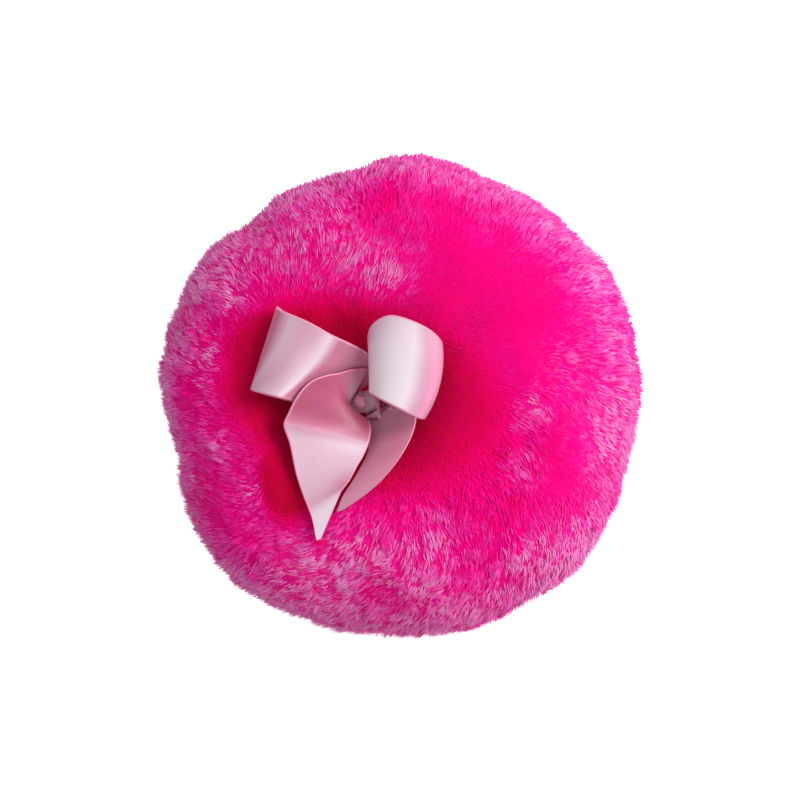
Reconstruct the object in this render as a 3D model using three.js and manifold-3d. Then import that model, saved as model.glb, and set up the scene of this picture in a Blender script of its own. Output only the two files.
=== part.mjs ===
// Plush powder puff with a satin ribbon bow.
//
// Two discs of long-pile plush are sewn together round the rim, stuffed through a gap that is then closed
// by hand, and drawn in at the middle of the back by a stout thread. The same thread holds the bow, which
// can turn a little on it. Millimetres, +Z up. The puff lies on its face, bow up, and the origin is on the
// table under the middle of the rim.
import * as THREE from 'three';
import * as BufferGeometryUtils from 'three/addons/utils/BufferGeometryUtils.js';
import Module from 'manifold-3d';

const wasm = await Module();
wasm.setup();

// Driving dimensions of the pad
const puffDiameter = 90;
const puffHeight = 38;
const seamHeight = 17;
const crownRadius = 22;
const footRadius = 24;
const dimpleDepth = 10;

// Length of the pile: round the rim, on the crown, under the face where the pad rests, and under the bow
const rimPile = 13;
const crownPile = 12.5;
const facePile = 10;
const tackPile = 6;

// Swells of the pile: hills about this far apart, kept low where the bow lies
const hillSpacing = 23;
const bowReach = 30;

// The tack sits a little to one side, and only the middle of the pad follows it there
const tackX = -4.4;
const tackY = -1.1;
const tackZoneRadius = 12;

// Cloth, seam and threads
const clothThickness = 0.8;
const seamAllowance = 4;
const sewnGap = 0.3;
const nestGap = 0.45;
const sewingThread = 0.4;
const stitchReach = 0.8;
const seamStitchPitch = 5.4;
const closingStitchPitch = 2.6;
const closingGapAngle = THREE.MathUtils.degToRad(60);
const tackThread = 1;
const anchorRadius = 1.4;
const anchorDepth = 4;
const headRadius = 1.2;
const headThickness = 0.9;

// Ribbon bow
const ribbonWidth = 16;
const ribbonThickness = 0.4;
const bowClearance = 0.6;
const knotLength = 5.6;
const knotDiameter = 4.6;
const knotPleatDepth = 0.25;
const gatherPleatDepth = 0.2;

// Shapes as shares of the sizes that they follow
const clothCrownShare = 0.7;
const clothFootShare = 0.62;
const evenShare = 0.9375;
const shoulderPower = 2.3;
const facePower = 2.1;
const gatherHalfShare = 0.46;
const layerShares = { lower: -0.28, middle: 0.02, upper: 0.52 };
const hillShare = 0.05;
const restingSwellShare = 0.02;
// Waves round the rim: their count, their height as a share of the pile's length there, and their turn
const rimWaveShares = [[1, 0.066, 1.40], [2, 0.026, -1.04], [4, 0.033, 2.65], [5, 0.048, -1.39],
  [6, 0.018, 2.29], [7, 0.017, -2.45]];

// Facets
const discSides = 36;
const pileSides = 44;
const threadSides = 4;

const padRadius = puffDiameter / 2;
const clothRadius = padRadius - rimPile;
const evenRadius = clothRadius * evenShare;
const clothTop = puffHeight - crownPile;
const clothFoot = facePile;
const tackFloor = puffHeight - dimpleDepth;
const clothDip = clothTop - (tackFloor - tackPile);
const threadRadius = sewingThread / 2;
const stitchRadius = clothRadius + sewnGap + threadRadius;
const channelRadius = stitchRadius + threadRadius + sewnGap;
const channelHalf = stitchReach + threadRadius + sewnGap;
const tackHole = tackThread / 2 + sewnGap;
const tackOffset = Math.hypot(tackX, tackY);

const plush = new THREE.MeshStandardMaterial({ color: 0xe8208a, roughness: 0.95, metalness: 0 });
const backing = new THREE.MeshStandardMaterial({ color: 0xb01258, roughness: 0.9, metalness: 0 });
const filling = new THREE.MeshStandardMaterial({ color: 0xf2f0ec, roughness: 1, metalness: 0 });
const thread = new THREE.MeshStandardMaterial({ color: 0xd8447f, roughness: 0.6, metalness: 0 });
const tackCord = new THREE.MeshStandardMaterial({ color: 0xe0b0c8, roughness: 0.6, metalness: 0 });
const satin = new THREE.MeshStandardMaterial({ color: 0xe8c8d8, roughness: 0.35, metalness: 0 });

const puff = new THREE.Group();

/** Adds a named piece to a group, standing at a place in it. */
function addPiece(parent, name, geometry, material, place = new THREE.Vector3()) {
  const mesh = new THREE.Mesh(geometry, material);
  mesh.name = name;
  mesh.position.copy(place);
  parent.add(mesh);
  return mesh;
}

/** How far a point at this radius follows the tack: 1 round the tack, falling smoothly to 0. */
function followShare(radius) {
  return 1 - THREE.MathUtils.smoothstep(radius, tackZoneRadius, evenRadius);
}

/** Moves the middle of a round piece under the tack and leaves its rim where it is. */
function leanToTack(geometry) {
  const places = geometry.attributes.position;
  for (let i = 0; i < places.count; i += 1) {
    const follow = followShare(Math.hypot(places.getX(i), places.getY(i)));
    places.setXY(i, places.getX(i) + tackX * follow, places.getY(i) + tackY * follow);
  }
  return geometry;
}

/** Turns a profile of [radius, height] points, run anticlockwise, into a solid about +Z. */
function revolve(profile, sides) {
  const geometry = new THREE.LatheGeometry(profile.map(([r, z]) => new THREE.Vector2(r, z)), sides);
  return geometry.rotateX(Math.PI / 2);
}

/**
 * Points of a puff's back from radius `start` to its rim: a cosine hollow of depth `dip` out to `ring`,
 * then a superelliptic shoulder that falls from `top` to `base` and stands upright at `radius`.
 */
function backOutline({ start, ring, radius, top, base, dip }, hollowSteps, shoulderSteps) {
  const points = [];
  for (let i = 0; i < hollowSteps; i += 1) {
    const r = start + (ring - start) * i / hollowSteps;
    points.push([r, top - dip * (1 + Math.cos(Math.PI * r / ring)) / 2]);
  }
  for (let i = 0; i <= shoulderSteps; i += 1) {
    const turn = Math.PI / 2 * i / shoulderSteps;
    const out = Math.sin(turn) ** (2 / shoulderPower);
    const up = i === shoulderSteps ? 0 : Math.cos(turn) ** (2 / shoulderPower);
    points.push([ring + (radius - ring) * out, base + (top - base) * up]);
  }
  return points;
}

/** Points of a puff's face from the axis to its rim: a flat foot, then a superelliptic quarter. */
function faceOutline({ foot, radius, bottom, base }, steps) {
  const points = [[0, bottom]];
  for (let i = 0; i <= steps; i += 1) {
    const turn = Math.PI / 2 * i / steps;
    const out = Math.sin(turn) ** (2 / facePower);
    const down = i === steps ? 0 : Math.cos(turn) ** (2 / facePower);
    points.push([foot + (radius - foot) * out, base - (base - bottom) * down]);
  }
  return points;
}

/** The back of the cloth bag, drawn in by `inset`, ending `rise` above the seam. */
function bagBack(inset, rise, start) {
  return backOutline({
    start,
    ring: crownRadius * clothCrownShare,
    radius: clothRadius - inset,
    top: clothTop - inset,
    base: seamHeight + rise,
    dip: clothDip,
  }, 4, 5);
}

/** The face of the cloth bag, drawn in by `inset`, ending `fall` below the seam. */
function bagFace(inset, fall) {
  return faceOutline({
    foot: footRadius * clothFootShare,
    radius: clothRadius - inset,
    bottom: clothFoot + inset,
    base: seamHeight - fall,
  }, 5);
}

const halfGap = sewnGap / 2;
const flangeInner = clothRadius - clothThickness - seamAllowance;
const paddingInset = clothThickness + nestGap;
const grooveHalf = halfGap + clothThickness + nestGap;

/** Loose fibre filling: it fills the bag, parts round the seam allowance and holds the thread's anchor. */
function paddingSolid() {
  const face = bagFace(paddingInset, grooveHalf);
  const back = bagBack(paddingInset, grooveHalf, tackHole).reverse();
  const pocketRadius = anchorRadius + sewnGap;
  const anchorHeight = tackFloor - tackPile - paddingInset - anchorDepth;
  const profile = [
    ...face,
    [flangeInner - nestGap, seamHeight - grooveHalf],
    [flangeInner - nestGap, seamHeight + grooveHalf],
    ...back,
    [tackHole, anchorHeight + pocketRadius],
    [pocketRadius, anchorHeight + pocketRadius],
    [pocketRadius, anchorHeight - pocketRadius],
    [0, anchorHeight - pocketRadius],
  ];
  return leanToTack(revolve(profile, discSides));
}

/** Woven backing of the back disc, with its edge turned in at the seam and a hole for the tack. */
function backClothSolid() {
  const inside = bagBack(clothThickness, halfGap + clothThickness, tackHole);
  const outside = bagBack(0, halfGap, tackHole).reverse();
  const profile = [
    ...inside,
    [flangeInner, seamHeight + halfGap + clothThickness],
    [flangeInner, seamHeight + halfGap],
    ...outside,
    inside[0],
  ];
  return leanToTack(revolve(profile, discSides));
}

/** Woven backing of the face disc, with its edge turned in at the seam. */
function faceClothSolid() {
  const profile = [
    ...bagFace(0, halfGap),
    [flangeInner, seamHeight - halfGap],
    [flangeInner, seamHeight - halfGap - clothThickness],
    ...bagFace(clothThickness, halfGap + clothThickness).reverse(),
  ];
  return leanToTack(revolve(profile, discSides));
}

/** Two crossing trains of bent waves, from -1 to 1, that lie over the pad as gentle hills. */
function hills(x, y) {
  const [u, v] = [x, y].map((length) => 2 * Math.PI * length / hillSpacing);
  return (Math.sin(u + 1.3 * Math.sin(0.7 * v)) + Math.sin(0.92 * v + 1.1 * Math.sin(0.77 * u) + 2)) / 2;
}

/** How far the pile's tips stand above their even surface here: waves at the rim, and hills all over. */
function swell(x, y) {
  const radius = Math.hypot(x, y);
  const angle = Math.atan2(y, x);
  const waves = rimWaveShares.reduce(
    (sum, [count, share, turn]) => sum + share * Math.cos(count * angle + turn), restingSwellShare);
  const atRim = THREE.MathUtils.smoothstep(radius, evenRadius - halfGap, padRadius - 2 * sewnGap);
  const height = rimPile * (waves * atRim + hillShare * hills(x, y));
  const fromTack = Math.hypot(x - tackX, y - tackY);
  const [bowStart, bowEnd] = [bowReach - seamAllowance, bowReach + seamAllowance];
  const clearOfBow = THREE.MathUtils.smoothstep(fromTack, bowStart, bowEnd);
  return Math.max(height, 0) * clearOfBow + Math.min(height, 0);
}

/**
 * Swells a revolved pile along its outer outline, whose points are those numbered `from` to `to` of each
 * profile: outwards at the rim, and up or down, by `upright`, towards the middle.
 */
function swellPile(geometry, profileLength, from, to, middleRadius, height, upright) {
  const places = geometry.attributes.position;
  for (let i = 0; i < places.count; i += 1) {
    const number = i % profileLength;
    if (number >= from && number <= to) {
      const [x, y, z] = [places.getX(i), places.getY(i), places.getZ(i)];
      const radius = Math.hypot(x, y);
      const out = Math.max(radius - middleRadius, 0) / (padRadius - middleRadius);
      const up = Math.abs(z - seamHeight) / height;
      const turn = Math.atan2(out, up);
      const share = upright > 0 ? 1 : Math.sin(turn);
      const rise = share * swell(x, y);
      places.setXYZ(i, x * (1 + rise * Math.sin(turn) / Math.max(radius, sewnGap)),
        y * (1 + rise * Math.sin(turn) / Math.max(radius, sewnGap)), z + upright * rise * Math.cos(turn));
    }
  }
  return geometry;
}

/** Pile of the back disc: a thick ring that dips to the tack and leaves a channel for the seam stitches. */
function backPileSolid() {
  const inside = bagBack(-nestGap, 0, tackHole).filter(([, z]) => z > seamHeight + channelHalf);
  const outside = backOutline({
    start: tackHole,
    ring: crownRadius,
    radius: padRadius,
    top: puffHeight,
    base: seamHeight + halfGap,
    dip: dimpleDepth,
  }, 8, 8).reverse();
  const profile = [
    ...inside,
    [channelRadius, seamHeight + channelHalf],
    [channelRadius, seamHeight + halfGap],
    ...outside,
    inside[0],
  ];
  const outerStart = inside.length + 2;
  const pile = swellPile(revolve(profile, pileSides), profile.length, outerStart,
    outerStart + outside.length - 2, crownRadius, puffHeight - seamHeight, 1);
  return leanToTack(pile);
}

/** Pile of the face disc, pressed flat where the puff rests. */
function facePileSolid() {
  const inside = bagFace(-nestGap, 0).filter(([, z]) => z < seamHeight - channelHalf).reverse();
  const outside = faceOutline({
    foot: footRadius,
    radius: padRadius,
    bottom: 0,
    base: seamHeight - halfGap,
  }, 8);
  const profile = [
    ...outside,
    [channelRadius, seamHeight - halfGap],
    [channelRadius, seamHeight - channelHalf],
    ...inside,
  ];
  const pile = swellPile(revolve(profile, pileSides), profile.length, 0, outside.length - 1,
    footRadius, seamHeight, -1);
  return leanToTack(pile);
}

/** A run of stitches that crosses the seam to and fro; `squareness` above 1 makes the crossings steeper. */
function stitchRun(startAngle, endAngle, pitch, squareness, stepsPerStitch) {
  const stitches = Math.round((endAngle - startAngle) * stitchRadius / pitch);
  const steps = stitches * stepsPerStitch;
  const points = [];
  for (let i = 0; i <= steps; i += 1) {
    const angle = startAngle + (endAngle - startAngle) * i / steps;
    const wave = THREE.MathUtils.clamp(squareness * Math.sin(2 * Math.PI * stitches * i / steps), -1, 1);
    points.push(new THREE.Vector3(
      stitchRadius * Math.cos(angle),
      stitchRadius * Math.sin(angle),
      seamHeight + stitchReach * wave,
    ));
  }
  const section = new THREE.Shape(new THREE.EllipseCurve(0, 0, threadRadius, threadRadius)
    .getPoints(threadSides).slice(0, threadSides));
  return new THREE.ExtrudeGeometry(section, {
    steps,
    bevelEnabled: false,
    extrudePath: new THREE.CatmullRomCurve3(points, false, 'centripetal'),
  });
}

/** Stout thread on the tack's axis: an anchor in the filling, a shank through the back, a head on top. */
function tackThreadSolid(headSeat) {
  const anchorHeight = tackFloor - tackPile - paddingInset - anchorDepth;
  const profile = [];
  const bulgeSteps = 6;
  for (let i = 0; i < bulgeSteps; i += 1) {
    const turn = -Math.PI / 2 + 0.85 * Math.PI * i / (bulgeSteps - 1);
    profile.push([anchorRadius * Math.cos(turn), anchorHeight + anchorRadius * Math.sin(turn)]);
  }
  profile[0][0] = 0;
  profile.push([tackThread / 2, anchorHeight + anchorRadius + tackThread / 2]);
  profile.push([tackThread / 2, headSeat], [headRadius, headSeat]);
  for (let i = 1; i < bulgeSteps; i += 1) {
    const turn = Math.PI / 2 * i / bulgeSteps;
    profile.push([headRadius * Math.cos(turn), headSeat + headThickness * Math.sin(turn)]);
  }
  profile.push([0, headSeat + headThickness]);
  return revolve(profile, 12);
}

/**
 * Height that the pile reaches anywhere on the circle of this radius round the tack, so that what stays
 * above it stays clear of the pile while the bow turns.
 */
function pileFloor(reach) {
  const radius = reach + tackOffset * (1 - followShare(reach + tackOffset));
  const inner = Math.min(radius, crownRadius);
  return puffHeight - dimpleDepth * (1 + Math.cos(Math.PI * inner / crownRadius)) / 2;
}

const knotCentre = tackFloor + bowClearance + knotDiameter / 2;
const gatherReach = knotLength / 2 + 2 * sewnGap + ribbonThickness / 2;
const gatherHalf = knotDiameter * gatherHalfShare;

/** A closed solid as a Manifold, from any closed three.js geometry. */
function solidOf(geometry) {
  const bare = geometry.clone();
  bare.deleteAttribute('normal');
  bare.deleteAttribute('uv');
  const merged = BufferGeometryUtils.mergeVertices(bare);
  return new wasm.Manifold(new wasm.Mesh({
    numProp: 3,
    vertProperties: merged.attributes.position.array,
    triVerts: Uint32Array.from(merged.index.array),
  }));
}

/** Back from a Manifold to a three.js geometry. */
function geometryOf(solid) {
  const { vertProperties, triVerts } = solid.getMesh();
  const geometry = new THREE.BufferGeometry();
  geometry.setAttribute('position', new THREE.BufferAttribute(vertProperties, 3));
  geometry.setIndex(new THREE.BufferAttribute(triVerts, 1));
  geometry.computeVertexNormals();
  return geometry;
}

/** The knot: a pleated barrel of ribbon lying along X, bored upright for the tack thread. */
function knotSolid() {
  const rings = 12;
  const radius = knotDiameter / 2;
  const profile = [[0, -knotLength / 2]];
  for (let i = 0; i <= rings; i += 1) {
    const along = -1 + 2 * i / rings;
    const barrel = Math.sqrt(1 - 0.72 * along ** 4);
    const pleat = knotPleatDepth * (1 + Math.cos(3 * Math.PI * along)) / 2;
    profile.push([(radius - pleat) * barrel, knotLength / 2 * along]);
  }
  profile.push([0, knotLength / 2]);
  const barrel = revolve(profile, 20).rotateY(Math.PI / 2).translate(0, 0, knotCentre);
  const bore = new THREE.CylinderGeometry(tackHole, tackHole, 2 * knotDiameter, 12)
    .rotateX(Math.PI / 2).translate(0, 0, knotCentre);
  return geometryOf(solidOf(barrel).subtract(solidOf(bore)));
}

/** One selvedge of a ribbon: rows of [x, y, lift over the pile] from the tack, in shares of its width. */
function selvedge(placeShares) {
  return new THREE.CatmullRomCurve3(placeShares.map(([xShare, yShare, liftShare]) => {
    const x = xShare * ribbonWidth;
    const y = yShare * ribbonWidth;
    return new THREE.Vector3(x, y, pileFloor(Math.hypot(x, y)) + bowClearance + liftShare * ribbonWidth);
  }), false, 'centripetal');
}

/**
 * A row of places where the ribbon is gathered against the knot's end at `side` of it, in one of the three
 * layers that the knot holds. A `turn` of -1 swaps its selvedges.
 */
function gatheredRow(side, layerShare, turn = 1) {
  const height = knotCentre + knotDiameter * layerShare;
  const lift = height - pileFloor(Math.hypot(gatherReach, gatherHalf)) - bowClearance;
  return [turn, -turn].map((edge) => [side * gatherReach, edge * gatherHalf, lift]
    .map((length) => length / ribbonWidth));
}

/** Height of a ribbon that lies over the knot at this place, or 0 where the knot isn't under it. */
function knotCover(x, y) {
  const reach = knotDiameter / 2 + 2 * sewnGap;
  const isOver = Math.abs(x) < knotLength / 2 + sewnGap && Math.abs(y) < reach;
  return isOver ? knotCentre + Math.sqrt(reach * reach - y * y) : 0;
}

/** The larger of two heights, rounded off where they cross within `blend` of each other. */
function smoothMax(a, b, blend) {
  const near = Math.max(blend - Math.abs(a - b), 0) / blend;
  return Math.max(a, b) + near * near * blend / 4;
}

/**
 * A length of ribbon between two selvedges. Across it runs straight, apart from a fullness of `bulgeShare`
 * of the width upwards and `roundShare` outwards, with pleats that die away from the gathered ends, and it
 * is lifted over the pile and the knot.
 */
function ribbonSolid({ rows, bulgeShare, roundShare, gatherStart, gatherEnd }, alongSteps, acrossSteps) {
  const first = selvedge(rows.map(([edge]) => edge));
  const second = selvedge(rows.map(([, edge]) => edge));
  const middle = [];
  for (let i = 0; i <= alongSteps; i += 1) {
    const u = i / alongSteps;
    const a = first.getPoint(u);
    const b = second.getPoint(u);
    const gather = gatherStart * Math.max(0, 1 - 5 * u) ** 2 + gatherEnd * Math.max(0, 5 * u - 4) ** 2;
    for (let j = 0; j <= acrossSteps; j += 1) {
      const v = j / acrossSteps;
      const place = a.clone().lerp(b, v);
      const fullness = ribbonWidth * Math.sin(Math.PI * u) * 4 * v * (1 - v);
      const outward = roundShare * fullness * Math.sin(Math.PI * u) ** 3 / Math.hypot(place.x, place.y);
      place.x += outward * place.x;
      place.y += outward * place.y;
      place.z += bulgeShare * fullness + gatherPleatDepth * gather * Math.sin(4 * Math.PI * v);
      const overPile = pileFloor(Math.hypot(place.x, place.y)) + bowClearance;
      const rest = Math.max(overPile, knotCover(place.x, place.y));
      place.z = smoothMax(place.z, rest + ribbonThickness / 2, ribbonThickness);
      middle.push(place);
    }
  }
  return thickened(middle, alongSteps, acrossSteps, ribbonThickness);
}

/** Gives a grid of points a thickness: both faces stand off it by half, and the four edges are closed. */
function thickened(middle, alongSteps, acrossSteps, thickness) {
  const row = acrossSteps + 1;
  const at = (i, j) => middle[THREE.MathUtils.clamp(i, 0, alongSteps) * row
    + THREE.MathUtils.clamp(j, 0, acrossSteps)];
  const upper = [];
  const lower = [];
  for (let i = 0; i <= alongSteps; i += 1) {
    for (let j = 0; j <= acrossSteps; j += 1) {
      const along = at(i + 1, j).clone().sub(at(i - 1, j));
      const across = at(i, j + 1).clone().sub(at(i, j - 1));
      const off = along.cross(across).normalize().multiplyScalar(thickness / 2);
      upper.push(at(i, j).clone().add(off));
      lower.push(at(i, j).clone().sub(off));
    }
  }
  const count = middle.length;
  const index = [];
  const quad = (a, b, c, d) => index.push(a, b, c, a, c, d);
  for (let i = 0; i < alongSteps; i += 1) {
    for (let j = 0; j < acrossSteps; j += 1) {
      const a = i * row + j;
      quad(a, a + row, a + row + 1, a + 1);
      quad(count + a, count + a + 1, count + a + row + 1, count + a + row);
    }
  }
  for (let i = 0; i < alongSteps; i += 1) {
    const a = i * row;
    const b = a + acrossSteps;
    quad(a, count + a, count + a + row, a + row);
    quad(b, b + row, count + b + row, count + b);
  }
  for (let j = 0; j < acrossSteps; j += 1) {
    const b = alongSteps * row + j;
    quad(j, j + 1, count + j + 1, count + j);
    quad(b, count + b, count + b + 1, b + 1);
  }
  const geometry = new THREE.BufferGeometry();
  geometry.setAttribute('position', new THREE.Float32BufferAttribute(
    [...upper, ...lower].flatMap((p) => [p.x, p.y, p.z]), 3));
  geometry.setIndex(index);
  geometry.computeVertexNormals();
  return geometry;
}

// The flat loop: out along the pile, over a sharp fold, and back in a panel that drops to the knot
const leftLoopShares = [
  gatheredRow(-1, layerShares.lower),
  [[-0.39, 0.35, 0.08], [-0.41, -0.07, 0.08]],
  [[-0.61, 0.72, 0.03], [-0.72, -0.01, 0.05]],
  [[-0.81, 1.02, 0.03], [-1.06, 0.09, 0.02]],
  [[-0.87, 1.08, 0.11], [-1.18, 0.14, 0.07]],
  [[-0.81, 1.04, 0.21], [-1.12, 0.12, 0.18]],
  [[-0.47, 0.90, 0.35], [-0.82, 0.05, 0.42]],
  [[-0.24, 0.77, 0.44], [-0.67, 0.01, 0.41]],
  [[0.12, 0.55, 0.28], [-0.46, -0.04, 0.14]],
  [[0.09, 0.40, 0.14], [-0.36, -0.08, 0.09]],
  [[-0.10, 0.29, 0.09], [-0.31, -0.10, 0.06]],
  gatheredRow(-1, layerShares.middle),
];

// The loop that stands up: out along the pile, round, and back over the knot as an open arch
const rightLoopShares = [
  gatheredRow(1, layerShares.middle),
  [[0.44, 0.35, 0.10], [0.41, -0.04, 0.23]],
  [[0.75, 0.60, 0.02], [0.64, -0.10, 0.21]],
  [[0.96, 0.64, 0.06], [0.76, -0.16, 0.22]],
  [[1.02, 0.66, 0.17], [0.81, -0.19, 0.27]],
  [[0.95, 0.77, 0.31], [0.76, -0.18, 0.42]],
  [[0.75, 0.89, 0.40], [0.54, -0.07, 0.70]],
  [[0.46, 0.96, 0.41], [0.31, 0.04, 0.77]],
  [[0.23, 0.84, 0.38], [0.18, 0.10, 0.65]],
  [[0.16, 0.54, 0.34], [0.17, 0.06, 0.44]],
  gatheredRow(1, layerShares.upper),
];

// The upper tail: gathered on the knot beside the thread's head, it fans out and up to a crease, climbs onto
// the crown and ends in a slanting cut
const leftTailShares = [
  [[-0.09, 0.14, 0.31], [-0.15, -0.12, 0.30]],
  [[-0.04, 0.25, 0.30], [-0.18, -0.13, 0.29]],
  [[0.08, 0.37, 0.30], [-0.19, -0.14, 0.29]],
  [[-0.05, 0.37, 0.42], [-0.15, -0.16, 0.29]],
  [[-0.17, 0.33, 0.54], [-0.09, -0.19, 0.30]],
  [[-0.31, 0.30, 0.61], [-0.01, -0.23, 0.32]],
  [[-0.47, 0.23, 0.61], [0.09, -0.29, 0.33]],
  [[-0.61, 0.08, 0.56], [0.13, -0.36, 0.33]],
  [[-0.73, -0.13, 0.42], [0.14, -0.43, 0.33]],
  [[-0.78, -0.25, 0.34], [0.14, -0.48, 0.32]],
  [[-0.73, -0.47, 0.23], [0.09, -0.60, 0.28]],
  [[-0.66, -0.82, 0.09], [0.02, -0.73, 0.22]],
  [[-0.58, -1.06, 0.05], [-0.05, -0.87, 0.14]],
  [[-0.51, -1.22, 0.06], [-0.13, -0.99, 0.11]],
  [[-0.48, -1.34, 0.02], [-0.22, -1.17, 0.03]],
  [[-0.43, -1.56, 0.03], [-0.38, -1.54, 0.03]],
];

// The lower tail: it comes out under the standing loop and ends in the same slanting cut
const rightTailShares = [
  gatheredRow(1, layerShares.lower, -1),
  [[0.13, -0.26, 0.01], [0.40, -0.08, 0.02]],
  [[0.11, -0.35, 0.08], [0.64, -0.14, 0.09]],
  [[0.11, -0.47, 0.15], [0.67, -0.26, 0.15]],
  [[0.11, -0.56, 0.19], [0.63, -0.40, 0.15]],
  [[0.01, -0.82, 0.13], [0.49, -0.66, 0.16]],
  [[-0.09, -0.99, 0.06], [0.30, -0.89, 0.11]],
  [[-0.13, -1.06, 0.05], [0.10, -1.06, 0.06]],
  [[-0.20, -1.23, 0.03], [-0.14, -1.22, 0.03]],
];

addPiece(puff, 'padding', paddingSolid(), filling);
addPiece(puff, 'back_cloth', backClothSolid(), backing);
addPiece(puff, 'face_cloth', faceClothSolid(), backing);
addPiece(puff, 'back_pile', backPileSolid(), plush);
addPiece(puff, 'face_pile', facePileSolid(), plush);

const closingStart = -Math.PI / 2 - closingGapAngle / 2;
const closingEnd = -Math.PI / 2 + closingGapAngle / 2;
const runGapAngle = (sewingThread + 2 * sewnGap) / stitchRadius;
const seamStart = closingEnd + runGapAngle;
const seamEnd = closingStart + 2 * Math.PI - runGapAngle;
addPiece(puff, 'seam_thread', stitchRun(seamStart, seamEnd, seamStitchPitch, 1, 5), thread);
addPiece(puff, 'closing_thread', stitchRun(closingStart, closingEnd, closingStitchPitch, 2, 6), thread);

const tackPlace = new THREE.Vector3(tackX, tackY, 0);
const knotTop = knotCentre + knotDiameter / 2;
addPiece(puff, 'tack_thread', tackThreadSolid(knotTop + sewnGap), tackCord, tackPlace);

const bow = new THREE.Group();
bow.position.copy(tackPlace);
puff.add(bow);
addPiece(bow, 'bow_knot', knotSolid(), satin);
addPiece(bow, 'bow_left_loop', ribbonSolid(
  { rows: leftLoopShares, bulgeShare: 0, roundShare: 0, gatherStart: 1, gatherEnd: 1 }, 30, 8), satin);
addPiece(bow, 'bow_right_loop', ribbonSolid(
  { rows: rightLoopShares, bulgeShare: 0, roundShare: 0.11, gatherStart: 1, gatherEnd: 1 }, 30, 8), satin);
addPiece(bow, 'bow_left_tail', ribbonSolid(
  { rows: leftTailShares, bulgeShare: 0, roundShare: 0, gatherStart: 1, gatherEnd: 0 }, 30, 8), satin);
addPiece(bow, 'bow_right_tail', ribbonSolid(
  { rows: rightTailShares, bulgeShare: 0.03, roundShare: 0, gatherStart: 1, gatherEnd: 0 }, 20, 8), satin);

export default puff;
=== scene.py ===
# %% [markdown]
# # A plush powder puff with a satin bow
#
# The real puff is two round pieces of long-pile plush. They are sewn together round the rim, turned,
# stuffed, and drawn in at the middle by one strong stitch, which also holds a bow of satin ribbon.
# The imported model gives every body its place. This script dresses it: it grows the pile as strands,
# folds the ribbon as thin cloth, and gives each material its own finish.

import bpy
import numpy as np
from mathutils import Matrix, Vector


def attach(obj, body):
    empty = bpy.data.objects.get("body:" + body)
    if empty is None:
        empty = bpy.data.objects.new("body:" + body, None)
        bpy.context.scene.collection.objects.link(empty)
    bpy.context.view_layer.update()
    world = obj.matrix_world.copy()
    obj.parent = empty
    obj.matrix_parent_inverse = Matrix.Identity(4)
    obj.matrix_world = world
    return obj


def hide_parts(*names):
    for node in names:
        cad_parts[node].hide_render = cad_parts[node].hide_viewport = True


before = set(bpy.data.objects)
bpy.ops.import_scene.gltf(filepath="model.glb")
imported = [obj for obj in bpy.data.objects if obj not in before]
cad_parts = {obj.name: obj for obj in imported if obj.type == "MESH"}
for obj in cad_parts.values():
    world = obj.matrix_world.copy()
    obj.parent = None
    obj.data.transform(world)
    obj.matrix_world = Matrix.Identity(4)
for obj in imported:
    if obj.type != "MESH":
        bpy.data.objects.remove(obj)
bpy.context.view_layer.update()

MM = 0.001

# %% [markdown]
# ## Sizes
#
# The frame's solids were made from these sizes, in millimetres. The pile, the cloth and the ribbon below
# follow the same profiles, so a new piece lies where its solid does.

# %% Sizes of the pad and the bow
PAD_RADIUS, PAD_HEIGHT, SEAM_HEIGHT = 45.0, 38.0, 17.0
CROWN_RADIUS, FOOT_RADIUS, DIMPLE_DEPTH = 22.0, 24.0, 10.0
SHOULDER_POWER, FACE_POWER = 2.3, 2.1
CLOTH_RADIUS, CLOTH_CROWN_RADIUS, CLOTH_FOOT_RADIUS = 32.0, 15.4, 14.88
CLOTH_TOP, CLOTH_DIP, CLOTH_FOOT = 25.5, 3.5, 10.0
TACK = np.array([-4.4, -1.1])
TO_TACK = np.array([*TACK, 0])
TACK_ZONE, EVEN_RADIUS = 12.0, 30.0
RIBBON_WIDTH, BOW_CLEARANCE = 16.0, 0.6
print("pad", 2 * PAD_RADIUS, "mm across and", PAD_HEIGHT, "mm thick")

# %% [markdown]
# ## Camera
#
# The photograph looks down at the puff from 10 degrees to its right. A long lens at 420 mm keeps the
# perspective as mild as it is there. The lens is worked out from how many millimetres one of the 800
# pixels covers at the target.

# %% Place the camera
TILT = np.radians(10)
CAMERA_DISTANCE, TARGET = 420.0, np.array([0.25, -0.72, 18.0])
MM_PER_PIXEL, PHOTO_WIDTH, SENSOR = 0.1887, 800, 36.0
away = np.array([np.sin(TILT), 0.0, np.cos(TILT)])
across = np.array([np.cos(TILT), 0.0, -np.sin(TILT)])
turn = Matrix([across, (0, 1, 0), away]).transposed()
camera = bpy.data.objects.new("camera", bpy.data.cameras.new("camera"))
camera.matrix_world = Matrix.LocRotScale(Vector((TARGET + CAMERA_DISTANCE * away) * MM), turn, None)
camera.data.sensor_width = SENSOR
camera.data.lens = CAMERA_DISTANCE / MM_PER_PIXEL * SENSOR / PHOTO_WIDTH
camera.data.clip_start, camera.data.clip_end = 0.01, 20
bpy.context.scene.collection.objects.link(camera)
bpy.context.scene.camera = camera
print("lens", round(camera.data.lens, 1), "mm")

# %% [markdown]
# ## Materials, written as arithmetic
#
# A shader is a graph of nodes. Here a `Socket` stands for one output, and plus, minus and times on it add
# the Math nodes, so a pattern reads as a formula. `chart`, `own_place`, `noise`, `bands`, `ramp` and `bump`
# are the other nodes that the finishes share, and any other one comes from `node`.

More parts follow.
